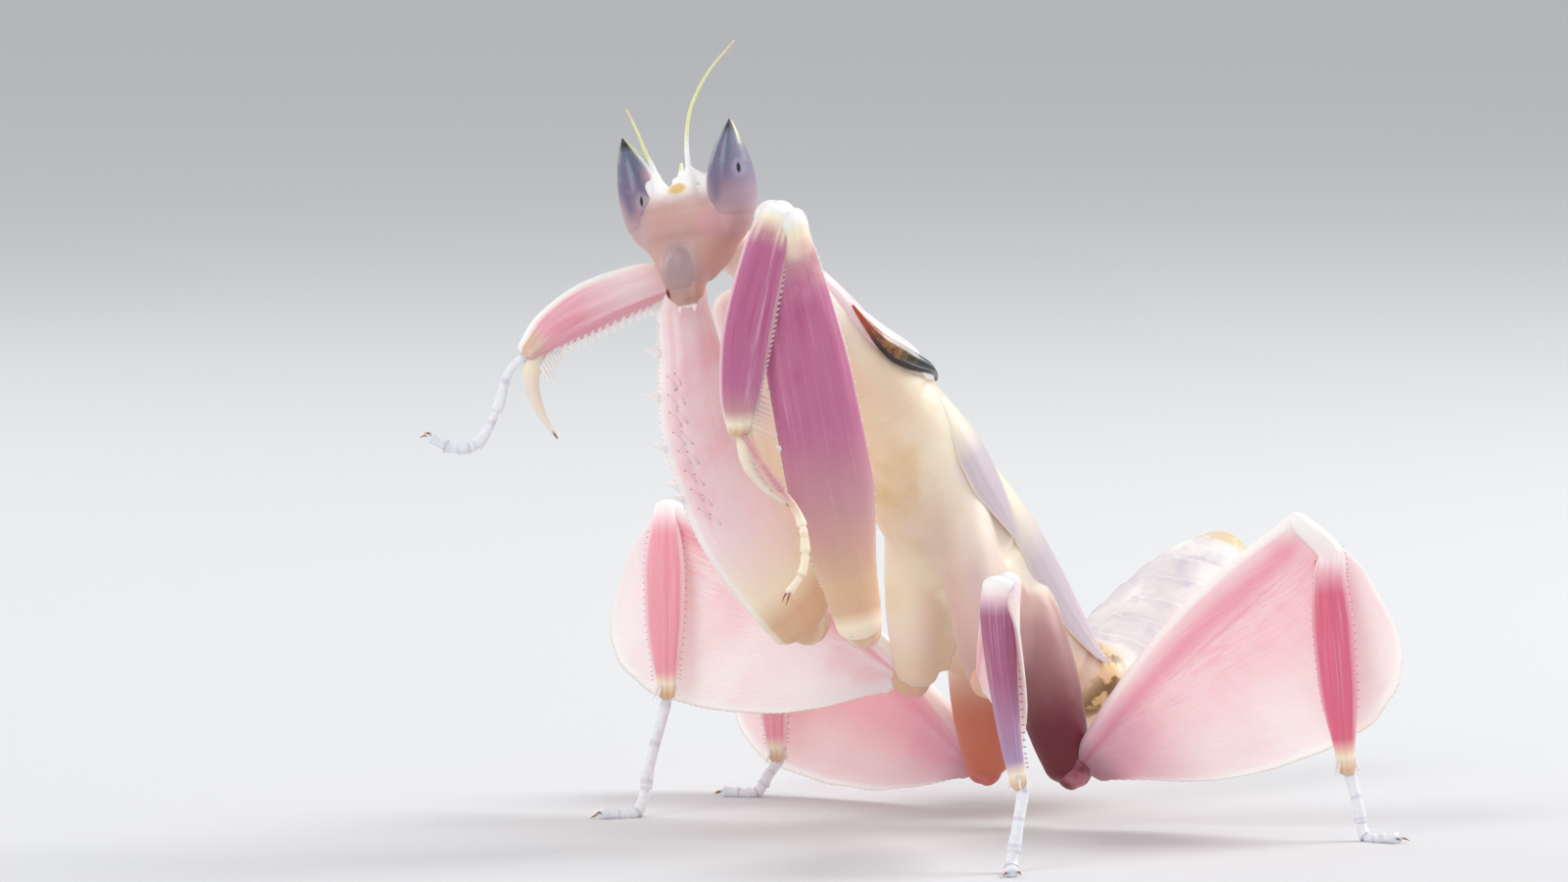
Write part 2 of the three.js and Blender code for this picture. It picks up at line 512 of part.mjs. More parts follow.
const floor = new THREE.BoxGeometry(80, 80, 10).translate(0, 0, -5);
for (const [name, leg] of Object.entries(WALKING_LEGS)) {
  const thigh = unit(minus(leg.knee, leg.joint));
  let front = planeSide(leg.joint, leg.knee, leg.ankle);
  if (front[1] > 0) front = front.map((value) => -value);
  let under = unit(cross(front, thigh));
  if (under[2] > 0) under = under.map((value) => -value);
  const lean = THREE.MathUtils.degToRad(leg.lean);
  const petalWay = under.map((value, i) => value * Math.cos(lean) - front[i] * Math.sin(lean));
  const thighSide = cross(thigh, petalWay);
  const base = shifted(leg.joint, thigh, 0.9);
  const length = point(leg.knee).distanceTo(point(base));
  const way = Math.sign(leg.knee[0]);

  const hip = taper(leg.hip, leg.joint, HIP)
    .map(([at, wide, deep]) => [at, wide * leg.girth, deep * leg.girth]);
  const coxa = loft(hip, front, { steps: 3, sides: 7, domes: [0.5, 0.3] });
  const knuckle = (grow = 0) =>
    loft([
      [shifted(leg.joint, thigh, -0.2), 0.62, 0.66],
      [shifted(leg.joint, thigh, 0.3), 0.8, 0.85],
      [shifted(leg.joint, thigh, 0.95), 0.66, 0.72],
    ], front, { steps: 2, sides: 6, domes: [0.4, 0.2], grow });
  const femur = (grow = 0) =>
    loft(taper(base, leg.knee, THIGH), thighSide, {
      steps: 7, sides: 10, domes: [0.15, 0.4], grow,
      section: thighSection(length, leg.reach, THIGH.length - 1), ease: (share) => 1 - (1 - share) ** 1.4,
    });
  const shinTop = shifted(leg.knee, petalWay, leg.drop);
  const shin = taper(shinTop, leg.ankle, SHIN).map(([at, wide, deep], i) => {
    const stout = 1 + leg.stout * (1 - SHIN[i][0] ** 2);
    return [shifted(at, front, SHIN_AHEAD[i] * leg.ahead), wide * stout, deep];
  });
  const tibia = (grow = 0) => loft(shin, front, { steps: 5, sides: 6, domes: [0.4, 0.3], grow });
  const toes = loft([
    [leg.ankle, LEAST_HALF, LEAST_HALF],
    [between(leg.ankle, leg.foot, 0.55), LEAST_HALF, LEAST_HALF],
    [leg.foot, SOLE_HALF, SOLE_HALF],
    [leg.toes, SOLE_HALF, SOLE_HALF],
  ], front, { steps: 4, sides: 6, domes: [0, 0.2] });

  const pads = [fieldPad(way, JOINT_GAP), hindPad(way, JOINT_GAP)];
  add(`${name}_coxa`, cut(coxa, ...trunkCutters, ...pads, knuckle(JOINT_GAP), femur(JOINT_GAP)), cream);
  add(`${name}_trochanter`, cut(knuckle(), femur(JOINT_GAP)), dusky);
  add(`${name}_femur`, femur(), blush);
  add(`${name}_tibia`, cut(tibia(), femur(JOINT_GAP)), mauve);
  add(`${name}_tarsus`, cut(toes, tibia(JOINT_GAP), floor), bone);
}

export default mantis;
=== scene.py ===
"""Orchid mantis nymph, life size, standing still: its skins, eyes, petals, spines and claws.

Shapes are worked out in millimetres. The insect faces -Y, its left side is +X and its feet
stand on z = 0. Each piece is brought to metres as it is finished.
"""

import math

import bmesh
import bpy
from mathutils import Matrix, Vector, noise
from mathutils.kdtree import KDTree


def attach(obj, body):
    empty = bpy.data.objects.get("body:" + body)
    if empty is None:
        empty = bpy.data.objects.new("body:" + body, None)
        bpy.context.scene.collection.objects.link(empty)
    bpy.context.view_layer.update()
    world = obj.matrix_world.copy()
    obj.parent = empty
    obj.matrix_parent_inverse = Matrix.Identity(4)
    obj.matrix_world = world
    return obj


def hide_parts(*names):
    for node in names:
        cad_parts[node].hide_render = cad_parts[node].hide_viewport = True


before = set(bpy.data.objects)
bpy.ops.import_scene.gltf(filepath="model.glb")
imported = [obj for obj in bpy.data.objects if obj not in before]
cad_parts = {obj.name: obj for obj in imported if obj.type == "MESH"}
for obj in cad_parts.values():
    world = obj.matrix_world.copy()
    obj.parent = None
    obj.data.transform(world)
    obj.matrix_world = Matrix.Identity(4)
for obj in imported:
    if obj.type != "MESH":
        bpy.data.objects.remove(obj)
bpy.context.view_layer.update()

bl_info = {
    "name": "Orchid mantis",
    "version": (1, 0, 0),
    "blender": (4, 5, 0),
    "location": "3D View > Sidebar > Mantis",
    "description": "Builds the looks of a life-size orchid mantis round its solids",
    "category": "Object",
}

MM = 0.001
LEFT = Vector((1, 0, 0))
MARKS = ("along", "across", "deep", "tip", "x", "y", "z")
SIDES = (("left", 1), ("right", -1))


# ---------------------------------------------------------------- colours
def tint(code):
    """The linear colour of a hex code."""
    parts = [int(code[i:i + 2], 16) / 255 for i in (1, 3, 5)]
    return tuple(p / 12.92 if p <= 0.04045 else ((p + 0.055) / 1.055) ** 2.4 for p in parts)


def colour(name, text, code):
    return bpy.props.FloatVectorProperty(
        name=name, description=text, subtype="COLOR", size=3, min=0.0, max=1.0, default=tint(code)
    )


def length(name, text, millimetres):
    return bpy.props.FloatProperty(
        name=name, description=text, subtype="DISTANCE", unit="LENGTH",
        min=0.0, default=millimetres * MM, precision=5,
    )


class MantisSizes(bpy.types.PropertyGroup):
    """Sizes that a user may want to change."""

    skin_grain: length("Body skin grain", "How finely the body's one skin is remeshed", 0.15)
    head_grain: length("Head grain", "How finely the head is remeshed", 0.06)
    segment_step: length("Segment step", "How far each tail segment stands over the next", 0.1)
    petal_edge: length("Petal edge", "Half the thickness of a petal at its rim", 0.05)
    petal_teeth: length("Petal teeth", "How far the tiny teeth of a petal's rim stand out", 0.045)
    feeler_base: length("Feeler base", "Half the thickness of a feeler where it starts", 0.17)
    feeler_tip: length("Feeler tip", "Half the thickness of a feeler at its tip", 0.045)


class MantisColours(bpy.types.PropertyGroup):
    """Colours that a user may want to change."""

    face: colour("Face", "Dull pink of the face", "#c9a09a")
    mouth_grey: colour("Mouth plate", "Lilac grey of the plate over the mouth", "#9d8b92")
    cheek: colour("Cheek", "Orange peach of the cheeks and mouth", "#cf9a76")
    milk: colour("Milk", "Bright white of lobes, knees and the back", "#fdfaf6")
    cream: colour("Cream", "Warm white of the thorax", "#faebd2")
    butter: colour("Butter", "Yellow patches on the thorax and forehead", "#e0bf6d")
    eye_top: colour("Eye top", "Blue grey of the upper eye", "#5f6880")
    # This violet is the eye's own between its foot and top, and is also painted as shade in a band down both
    # eyes.
    eye_violet_and_shade: colour("Eye band", "Violet band down the eye", "#7b6c8c")
    eye_low: colour("Eye foot", "Dull pink at the foot of the eye", "#b3919b")
    black: colour("Black", "Pupils, spine tips and shield edge", "#12100e")
    straw: colour("Straw", "Pale yellow green of the feelers", "#dfe0a0")
    blush: colour("Blush", "Palest pink of the petals", "#fde6e8")
    rose: colour("Rose", "Stronger pink of ridges and shins", "#f0a3b2")
    mauve: colour("Mauve", "Purple pink of the left grasping leg", "#be6b94")
    plum: colour("Plum", "Dull purple of the left middle shin", "#a85f82")
    violet: colour("Violet", "Paler purple at the foot of that shin", "#ab8fb2")
    dusty: colour("Dusty pink", "Grey pink between the mauve and the tan of that leg", "#c9969b")
    berry: colour("Berry", "Deep pink of the left hind shin", "#dc6a86")
    magenta: colour("Magenta", "Deepest pink of the left grasping leg", "#b34a78")
    # On the hind hips and the roots of their legs, dusk and ember are partly own colour and partly painted
    # reddish reflected light.
    dusk: colour("Dusk", "Dark wine red at the foot of the hind hips", "#6b1626")
    ember: colour("Ember", "Orange red of the right hind hip", "#c9583a")
    tan: colour("Tan", "Brown cream at the ends of the thighs", "#dfba98")
    lilac: colour("Lilac", "Grey violet of shaded joints and pads", "#bcb0c8")
    bark: colour("Bark", "Brown of marks and claws", "#6b3c18")
    green: colour("Dark green", "Green black of the shield's rim", "#1e2b26")
    # Painted highlight: the blue grey glint laid on the shield's rim.
    rim_glint: colour("Silver", "Blue grey gloss on the shield's rim", "#a9b8c2")
    haze_and_shade: colour("Haze", "Greyish violet white of the wing pads and the shaded side of the thorax", "#cdbfc6")
    bone: colour("Bone", "Bluish white of the feet", "#e6eaee")


# ---------------------------------------------------------------- finishes
def maths(operation, last=False):
    """A method of a wire that adds a Math node, in which the wire comes first or last."""
    def method(self, *others):
        values = (*others, self) if last else (self, *others)
        return self.finish.node("Math", {"operation": operation}, dict(enumerate(values)))

    return method


class Wire:
    """One value of a finish. Sums and products of wires add Math nodes."""

    def __init__(self, finish, socket):
        self.finish = finish
        self.socket = socket

    __add__ = maths("ADD")
    __radd__ = maths("ADD", last=True)
    __sub__ = maths("SUBTRACT")
    __rsub__ = maths("SUBTRACT", last=True)
    __mul__ = maths("MULTIPLY")
    __rmul__ = maths("MULTIPLY", last=True)
    __truediv__ = maths("DIVIDE")
    __abs__ = maths("ABSOLUTE")
    sine = maths("SINE")
    most = maths("MAXIMUM")

    def rise(self, low, high):
        """0 below low and 1 above high, or the other way round if low is the greater."""
        return self.finish.node("MapRange", {"interpolation_type": "SMOOTHSTEP"}, {0: self, 1: low, 2: high})

    def near(self, middle, reach):
        """1 at a value, falling to 0 at a distance from it."""
        return abs(self - middle).rise(reach, 0.0)


class Finish:
    """A procedural material whose nodes are added by calls."""

    def __init__(self, name, **constants):
        self.material = bpy.data.materials.new(name)
        self.material.use_nodes = True
        self.tree = self.material.node_tree
        self.shader = self.tree.nodes["Principled BSDF"]
        for key, value in constants.items():
            self.feed(self.shader.inputs[key.replace("_", " ").title()], value)

    def feed(self, socket, value):
        if isinstance(value, Wire):
            self.tree.links.new(value.socket, socket)
        elif socket.type == "RGBA" and len(value) == 3:
            socket.default_value = (*value, 1.0)
        else:
            socket.default_value = value

    def node(self, kind, settings=None, links=None, out=0):
        made = self.tree.nodes.new(f"ShaderNode{kind}")
        for key, value in (settings or {}).items():
            if key == "stops":
                self.set_stops(made.color_ramp, value)
            else:
                setattr(made, key, value)
        for key, value in (links or {}).items():
            self.feed(made.inputs[key], value)
        return Wire(self, made.outputs[out])

    @staticmethod
    def set_stops(ramp, stops):
        for i, (place, value) in enumerate(stops):
            stop = ramp.elements[i] if i < 2 else ramp.elements.new(place)
            stop.position = place
            stop.color = (*value, 1.0)

    def marks(self, *names):
        """Numbers that the piece carries at each of its points."""
        return [self.node("Attribute", {"attribute_name": name}, out=2) for name in names]

    def place(self):
        """The piece's own coordinates in millimetres."""
        bare = self.node("TexCoord", out=3)
        return self.node("Mapping", {"vector_type": "TEXTURE"}, {0: bare, 3: (MM, MM, MM)})

    def vector(self, x, y, z):
        return self.node("CombineXYZ", links={0: x, 1: y, 2: z})

    def noise(self, scale, detail=3.0, rough=0.55, at=None):
        links = {"Vector": at or self.place(), "Scale": scale, "Detail": detail, "Roughness": rough}
        return self.node("TexNoise", links=links)

    def cells(self, scale):
        return self.node("TexVoronoi", links={"Vector": self.place(), "Scale": scale})

    def spot(self, at, middle, sizes):
        """1 inside an egg-shaped place, fading out at its edge."""
        away = self.node("VectorMath", {"operation": "SUBTRACT"}, {0: at, 1: middle})
        flat = self.node("VectorMath", {"operation": "DIVIDE"}, {0: away, 1: sizes})
        return self.node("VectorMath", {"operation": "LENGTH"}, {0: flat}, out=1).rise(1.15, 0.55)

    def paint(self, base, *coats):
        """Lays colours over one another, each where its mask lets it show."""
        for over, mask in coats:
            base = self.node("Mix", {"data_type": "RGBA"}, {0: mask, 6: base, 7: over}, out=2)
        return base

    def ramp(self, value, *stops):
        return self.node("ValToRGB", {"stops": stops}, {0: value})

    def streaks(self, lengthwise, crosswise):
        """Noise drawn out along the piece's own length."""
        along, across, deep = self.marks("along", "across", "deep")
        at = self.vector(along * lengthwise, across * crosswise, deep * crosswise)
        return self.noise(1.0, 3.0, 0.6, at)

    def done(self, base, rough=None, height=None, strength=1.0, distance=0.0):
        """Feeds the shader: colour, roughness, and a relief of some strength and depth in millimetres."""
        self.feed(self.shader.inputs["Base Color"], base)
        if rough is not None:
            links = {"Strength": strength, "Distance": distance * MM, "Height": height}
            self.feed(self.shader.inputs["Roughness"], rough)
            self.feed(self.shader.inputs["Normal"], self.node("Bump", links=links))
        # A finish with an emission strength also emits its own colour: a painted glow.
        if self.shader.inputs["Emission Strength"].default_value > 0:
            self.feed(self.shader.inputs["Emission Color"], base)
        return self.material


def flesh(name, **changes):
    """A finish that light enters a little way, with gloss and a faint painted glow: it emits a little of its
    own colour.
    """
    usual = {
        "subsurface_weight": 0.35, "subsurface_radius": (1.0, 0.55, 0.45), "subsurface_scale": 0.9 * MM,
        "coat_weight": 0.12, "coat_roughness": 0.25, "emission_strength": 0.07,
    }
    return Finish(name, **{**usual, **changes})


# ---------------------------------------------------------------- curves and lofts
class Run:
    """A smooth curve through points, its shares spread evenly over the gaps between them."""

    def __init__(self, points):
        inner = [Vector(p) for p in points]
        first = inner[0] * 2 - inner[1]
        last = inner[-1] * 2 - inner[-2]
        self.points = [first, *inner, last]
        self.gaps = len(inner) - 1

    def at(self, share):
        place = min(max(share, 0.0), 1.0) * self.gaps
        i = min(int(place), self.gaps - 1)
        part = place - i
        a, b, c, d = self.points[i:i + 4]
        before, here, after = (max((q - p).length, 1e-6) ** 0.5 for p, q in ((a, b), (b, c), (c, d)))
        out = ((b - a) / before - (c - a) / (before + here) + (c - b) / here) * here
        into = ((c - b) / here - (d - b) / (here + after) + (d - c) / after) * here
        bend = (c - b) * 3 - out * 2 - into
        swing = (b - c) * 2 + out + into
        return b + out * part + bend * part ** 2 + swing * part ** 3

    def slope(self, share):
        return (self.at(share + 1e-3) - self.at(share - 1e-3)).normalized()


def oval(angle, wide, deep, share, shrink):
    return wide * math.cos(angle), deep * math.sin(angle), 0.0


def blunt_oval(power):
    """An oval that is squarer as its power grows past 2."""

    def section(angle, wide, deep, share, shrink):
        def blunt(value):
            return math.copysign(abs(value) ** (2 / power), value)
        return wide * blunt(math.cos(angle)), deep * blunt(math.sin(angle)), 0.0
    return section


class Loft:
    """Rings along stations [place, half width, half depth]; depth is measured along side x run."""

    def __init__(self, stations, side=LEFT, section=oval):
        self.path = Run([s[0] for s in stations])
        self.size = Run([(s[1], s[2], 0) for s in stations])
        self.side = Vector(side)
        self.section = section
        self.gaps = len(stations) - 1

    def frame(self, share):
        along = self.path.slope(share)
        wide = (self.side - along * self.side.dot(along)).normalized()
        return self.path.at(share), along, wide, wide.cross(along)

    def ring(self, share, shrink=1.0, ahead=0.0):
        """Gives a function from an angle and a lift to a place on this ring."""
        middle, along, wide_way, deep_way = self.frame(share)
        middle = middle + along * ahead
        wide, deep, _ = self.size.at(share)

        def place(angle, lift=0.0):
            across, down, lead = self.section(angle, wide * shrink, deep * shrink, share, shrink)
            lift *= shrink
            out = wide_way * (across + lift * math.cos(angle)) + deep_way * (down + lift * math.sin(angle))
            return middle + out + along * lead
        return place

    def on(self, station, degrees, height):
        """A place on the skin: a station number, an angle from depth towards width, a height."""
        share = station / self.gaps
        middle, _, wide_way, deep_way = self.frame(share)
        wide, deep, _ = self.size.at(share)
        angle = math.radians(degrees)
        out = deep_way * ((deep + height) * math.cos(angle)) + wide_way * ((wide + height) * math.sin(angle))
        return middle + out


class Finder:
    """Says where on a loft a place lies."""

    def __init__(self, loft, steps=300):
        self.rings = []
        self.tree = KDTree(steps + 1)
        for i in range(steps + 1):
            share = i / steps
            wide, deep, _ = loft.size.at(share)
            self.rings.append((share, *loft.frame(share), wide, deep))
            self.tree.insert(self.rings[-1][1], i)
        self.tree.balance()

    def find(self, place):
        """Share along, cosine across, sine of depth, and distance off the skin in millimetres."""
        _, i, _ = self.tree.find(place)
        share, middle, along, wide_way, deep_way, wide, deep = self.rings[i]
        away = place - middle
        ahead = away.dot(along)
        j = min(i + 1, len(self.rings) - 1) if ahead > 0 else max(i - 1, 0)
        gap = (self.rings[j][1] - middle).length
        if gap > 0:
            share += (self.rings[j][0] - share) * min(abs(ahead) / gap, 1.0)
        across = away.dot(wide_way) / wide
        down = away.dot(deep_way) / deep
        reach = max(math.hypot(across, down), 1e-6)
        beyond = ahead if i in (0, len(self.rings) - 1) else 0.0
        off = (reach - 1) * min(wide, deep)
        return share, across / reach, down / reach, math.hypot(max(off, 0.0), beyond) if off > 0 else off


# ---------------------------------------------------------------- skins
class Skin:
    """A mesh in millimetres, with the marks that its finish reads at each point."""

    def __init__(self, source=None):
        self.mesh = bmesh.new()
        if source is not None:
            self.mesh.from_mesh(source)
        self.marks = {}
        for name in MARKS:
            self.marks[name] = self.mesh.verts.layers.float.new(name)

    def mark(self, vert, **values):
        for name, value in values.items():
            vert[self.marks[name]] = value

    def tube(self, loft, rings, sides, domes, lift=None, start=0.0, cap=5):
        """Rolls a grid round a loft: its columns go round the rings and its rows run along them."""
        near = [(start, math.cos(b), -domes[0] * math.sin(b)) for b in self.bends(cap, domes[0])]
        far = [(1.0, math.cos(b), domes[1] * math.sin(b)) for b in self.bends(cap, domes[1])]
        body = [(start + (1.0 - start) * (i / rings), 1.0, 0.0) for i in range(rings + 1)]
        rows = near[::-1] + body + far
        places = [loft.ring(*row) for row in rows]
        last = len(rows) - 1
        verts = bmesh.ops.create_grid(self.mesh, x_segments=sides, y_segments=last, size=1.0)["verts"]
        for vert in verts:
            row = round((vert.co.y + 1) / 2 * last)
            angle = (vert.co.x + 1) * math.pi
            share = rows[row][0]
            vert.co = places[row](angle, lift(share, angle) if lift else 0.0)
            self.mark(vert, along=share, across=math.cos(angle), deep=math.sin(angle))
        faces = [face for face in self.mesh.faces if not face.tag]
        bmesh.ops.remove_doubles(self.mesh, verts=verts, dist=1e-5)
        fresh = [face for face in faces if face.is_valid]
        bmesh.ops.recalc_face_normals(self.mesh, faces=fresh)
        for face in fresh:
            face.tag = True
        return [vert for vert in verts if vert.is_valid]

    @staticmethod
    def bends(cap, dome):
        """The angles of a dome's rings. Without a dome one ring, drawn in to a point, closes the end."""
        return [math.pi / 2 * (i + 1) / cap for i in range(cap)] if dome > 0 else [math.pi / 2]

    def thorn(self, root, tip, half, bow=(0, 0, 0), sides=6, rings=3, point=0.1, tone=(0.0, 1.0), **marks):
        """A slim cone, bowed at its middle. Its mark "tip" starts at tone[0] and grows by tone[1]."""
        root, tip = Vector(root), Vector(tip)
        middle = root.lerp(tip, 0.5) + Vector(bow)
        side = Vector((0.31, 0.52, 0.79))
        if abs(side.dot((tip - root).normalized())) > 0.8:
            side = Vector((0.9, -0.3, 0.1))
        stations = [(at, half * part, half * part) for at, part in ((root, 1), (middle, 0.62), (tip, point))]
        for vert in self.tube(Loft(stations, side), rings, sides, (0, half * point), cap=1):
            self.mark(vert, tip=tone[0] + tone[1] * vert[self.marks["along"]], **marks)

    def spine(self, loft, station, turn, low, high, way, half, lead=0.0, reach=1.0, **form):
        """A thorn on a loft, from low over its skin towards high over it and on along way."""
        root = loft.on(station, turn, low)
        tip = loft.on(station + lead, turn, high) + way
        self.thorn(root, root.lerp(tip, reach), half, **form)

    def bead(self, middle, sizes, detail, turn=None, **marks):
        """A small egg."""
        made = bmesh.ops.create_icosphere(self.mesh, subdivisions=detail, radius=1.0)["verts"]
        place = Matrix.Translation(Vector(middle)) @ (turn or Matrix.Identity(4))
        bmesh.ops.transform(self.mesh, matrix=place @ Matrix.Diagonal((*sizes, 1.0)), verts=made)
        for vert in made:
            self.mark(vert, **marks)
            for face in vert.link_faces:
                face.tag = True

    def fused(self, grain, rounds):
        """The same shape as one closed skin, remeshed and smoothed."""
        rough = bpy.data.meshes.new("fusing")
        self.mesh.to_mesh(rough)
        body = bpy.data.objects.new("fusing", rough)
        bpy.context.scene.collection.objects.link(body)
        step = body.modifiers.new("one skin", "REMESH")
        step.mode = "VOXEL"
        step.voxel_size = grain
        graph = bpy.context.evaluated_depsgraph_get()
        whole = bpy.data.meshes.new_from_object(body.evaluated_get(graph))
        bpy.data.objects.remove(body)
        made = Skin(whole)
        bpy.data.meshes.remove(whole)
        bpy.data.meshes.remove(rough)
        axes = {f"use_axis_{axis}": True for axis in "xyz"}
        for _ in range(rounds):
            bmesh.ops.smooth_vert(made.mesh, verts=made.mesh.verts, factor=0.5, **axes)
        made.mesh.normal_update()
        self.mesh.free()
        return made

    def relieve(self, lift):
        """Moves each point along its normal by what lift gives for it."""
        self.mesh.normal_update()
        moves = [(vert, vert.normal * lift(vert)) for vert in self.mesh.verts]
        for vert, move in moves:
            vert.co += move

    def piece(self, name, finish, replaces, slot, place=None):
        """Brings the skin into the scene as a finished piece."""
        if place is not None:
            bmesh.ops.transform(self.mesh, matrix=place, verts=self.mesh.verts)
        bmesh.ops.scale(self.mesh, vec=(MM, MM, MM), verts=self.mesh.verts)
        for face in self.mesh.faces:
            face.smooth = True
        mesh = bpy.data.meshes.new(name)
        self.mesh.to_mesh(mesh)
        self.mesh.free()
        mesh.materials.append(finish)
        made = bpy.data.objects.new(name, mesh)
        bpy.context.scene.collection.objects.link(made)
        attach(made, "root")
        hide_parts(*replaces)


def bell(value, middle, reach):
    return math.exp(-(((value - middle) / reach) ** 2))


def smooth(value, low, high):
    part = min(max((value - low) / (high - low), 0.0), 1.0)
    return part * part * (3 - 2 * part)


# ---------------------------------------------------------------- the insect's plan
TRUNK = [
    ((-4.0, -10.5, 28.2), 0.95, 0.95),
    ((-3.3, -8.3, 27.0), 1.5, 1.25),
    ((-2.8, -6.3, 25.4), 2.0, 1.45),
    ((-2.1, -3.5, 22.8), 1.5, 1.35),
    ((-1.8, -1.05, 20.06), 2.15, 2.3),
    ((-1.7, 1.24, 16.02), 2.8, 3.25),
    ((-1.7, 3.93, 12.87), 2.95, 2.95),
    ((-1.7, 6.5, 9.7), 2.9, 2.6),
    ((-1.8, 8.9, 7.1), 2.75, 2.2),
    ((-2.3, 11.9, 5.8), 3.5, 2.2),
    ((-2.9, 15.0, 6.7), 4.2, 2.3),
    ((-3.3, 17.8, 8.5), 4.1, 2.1),
    ((-3.6, 20.3, 10.5), 3.2, 1.65),
    ((-3.6, 22.1, 12.0), 1.5, 0.9),
]
TRUNK_LOFT = Loft(TRUNK)
# Stations of the trunk: folds of the thorax, and the tail segments' ends, each with a slope before it.
THORAX_FOLDS = (3.95, 5.95, 7.9)
TAIL_SEGMENTS = (8.75, 9.5, 10.15, 10.75, 11.3, 11.8, 12.25, 12.65)
TAIL_SLOPE = 0.55

HEAD_AT = Vector((-3.9, -12.0, 29.0))
HEAD_PLACE = (
    Matrix.Translation(HEAD_AT)
    @ Matrix.Rotation(math.radians(23), 4, "Z")
    @ Matrix.Rotation(math.radians(-10.5), 4, "Y")
)
HEAD = [
    ((0, -0.95, -3.85), 0.3, 0.3),
    ((0, -0.92, -3.5), 0.74, 0.6),
    ((0, -0.85, -3.0), 1.0, 0.82),
    ((0, -0.7, -2.5), 1.22, 1.0),
    ((0, -0.1, -1.9), 1.75, 1.3),
    ((0, 0.35, -1.3), 2.25, 1.6),
    ((0, 0.6, -0.4), 2.6, 1.75),
    ((0, 0.65, 0.4), 2.6, 1.7),
    ((0, 0.6, 0.9), 2.2, 1.5),
    ((0, 0.55, 1.3), 1.5, 1.2),
]
# What stands on either side of the head, as rings, sides, domes and stations: the lobe that a feeler
# grows from, the ridge from there to the eye, and the palp beside the mouth.
HEAD_LOBES = (
    (16, 20, (0.2, 0.1), (((0.62, -0.35, 1.1), 0.55, 0.5), ((0.8, -0.4, 1.85), 0.3, 0.28),
                          ((0.91, -0.4, 2.5), 0.17, 0.17))),
    (16, 20, (0.1, 0.2), (((0.9, -0.38, 2.35), 0.14, 0.14), ((1.2, -0.12, 1.95), 0.26, 0.2),
                          ((1.55, 0.14, 1.4), 0.34, 0.34))),
    (12, 16, (0.1, 0.1), (((0.26, -0.95, -3.55), 0.17, 0.17), ((0.42, -1.05, -3.95), 0.15, 0.14),
                          ((0.36, -1.15, -4.25), 0.1, 0.1))),
)
HEAD_KNOB = [
    ((0.2, -0.3, 1.4), 0.34, 0.3),
    ((0.38, -0.25, 2.15), 0.17, 0.17),
    ((0.47, -0.2, 2.66), 0.12, 0.12),
]
EYE = [
    ((1.75, 0.6, -1.5), 0.3, 0.5),
    ((2.0, 0.68, -0.9), 0.62, 0.95),
    ((2.25, 0.73, -0.1), 0.98, 1.25),
    ((2.33, 0.73, 0.8), 1.12, 1.37),
    ((2.42, 0.7, 1.6), 1.08, 1.3),
    ((2.55, 0.66, 2.4), 0.92, 1.08),
    ((2.72, 0.6, 3.2), 0.62, 0.72),
    ((2.86, 0.57, 3.85), 0.3, 0.33),
    ((2.93, 0.55, 4.27), 0.05, 0.05),
]
FEELERS = {
    "left": [
        (0.85, -0.35, 1.9), (0.9, -0.38, 2.7), (0.98, -0.3, 3.7), (1.25, 0.1, 5.1), (1.95, 1.0, 6.6),
        (2.95, 2.2, 7.9),
    ],
    "right": [
        (-0.88, -0.38, 1.9), (-0.93, -0.41, 2.6), (-1.02, -0.7, 3.3), (-1.2, -0.85, 4.3), (-1.5, -1.0, 5.5),
    ],
}
FEELER_RINGS = 220
# The tail feelers: distance from the tail's middle, y, z and half thickness.
TAIL_MIDDLE = -3.6
TAIL_FEELER = ((1.1, 21.2, 10.6, 0.24), (1.6, 22.7, 11.4, 0.26), (1.7, 23.2, 12.1, 0.12))


def mirrored(stations, way):
    return [((at[0] * way, at[1], at[2]), wide, deep) for at, wide, deep in stations]


def over_trunk(rows, way=1):
    """Stations over the trunk from rows of station, turn, height, half width and half depth."""
    return [(TRUNK_LOFT.on(at, way * turn, height), wide, deep) for at, turn, height, wide, deep in rows]


def shares(a, b, sizes):
    """Stations between two places from rows of share, half width, half depth and bow."""
    a, b = Vector(a), Vector(b)
    return [(a.lerp(b, row[0]), *row[1:]) for row in sizes]


def bowed(stations, way):
    return [(at + way * (bow[0] if bow else 0.0), wide, deep) for at, wide, deep, *bow in stations]


def plane_side(root, bend, end):
    root, bend, end = Vector(root), Vector(bend), Vector(end)
    return (bend - root).cross(end - bend).normalized()


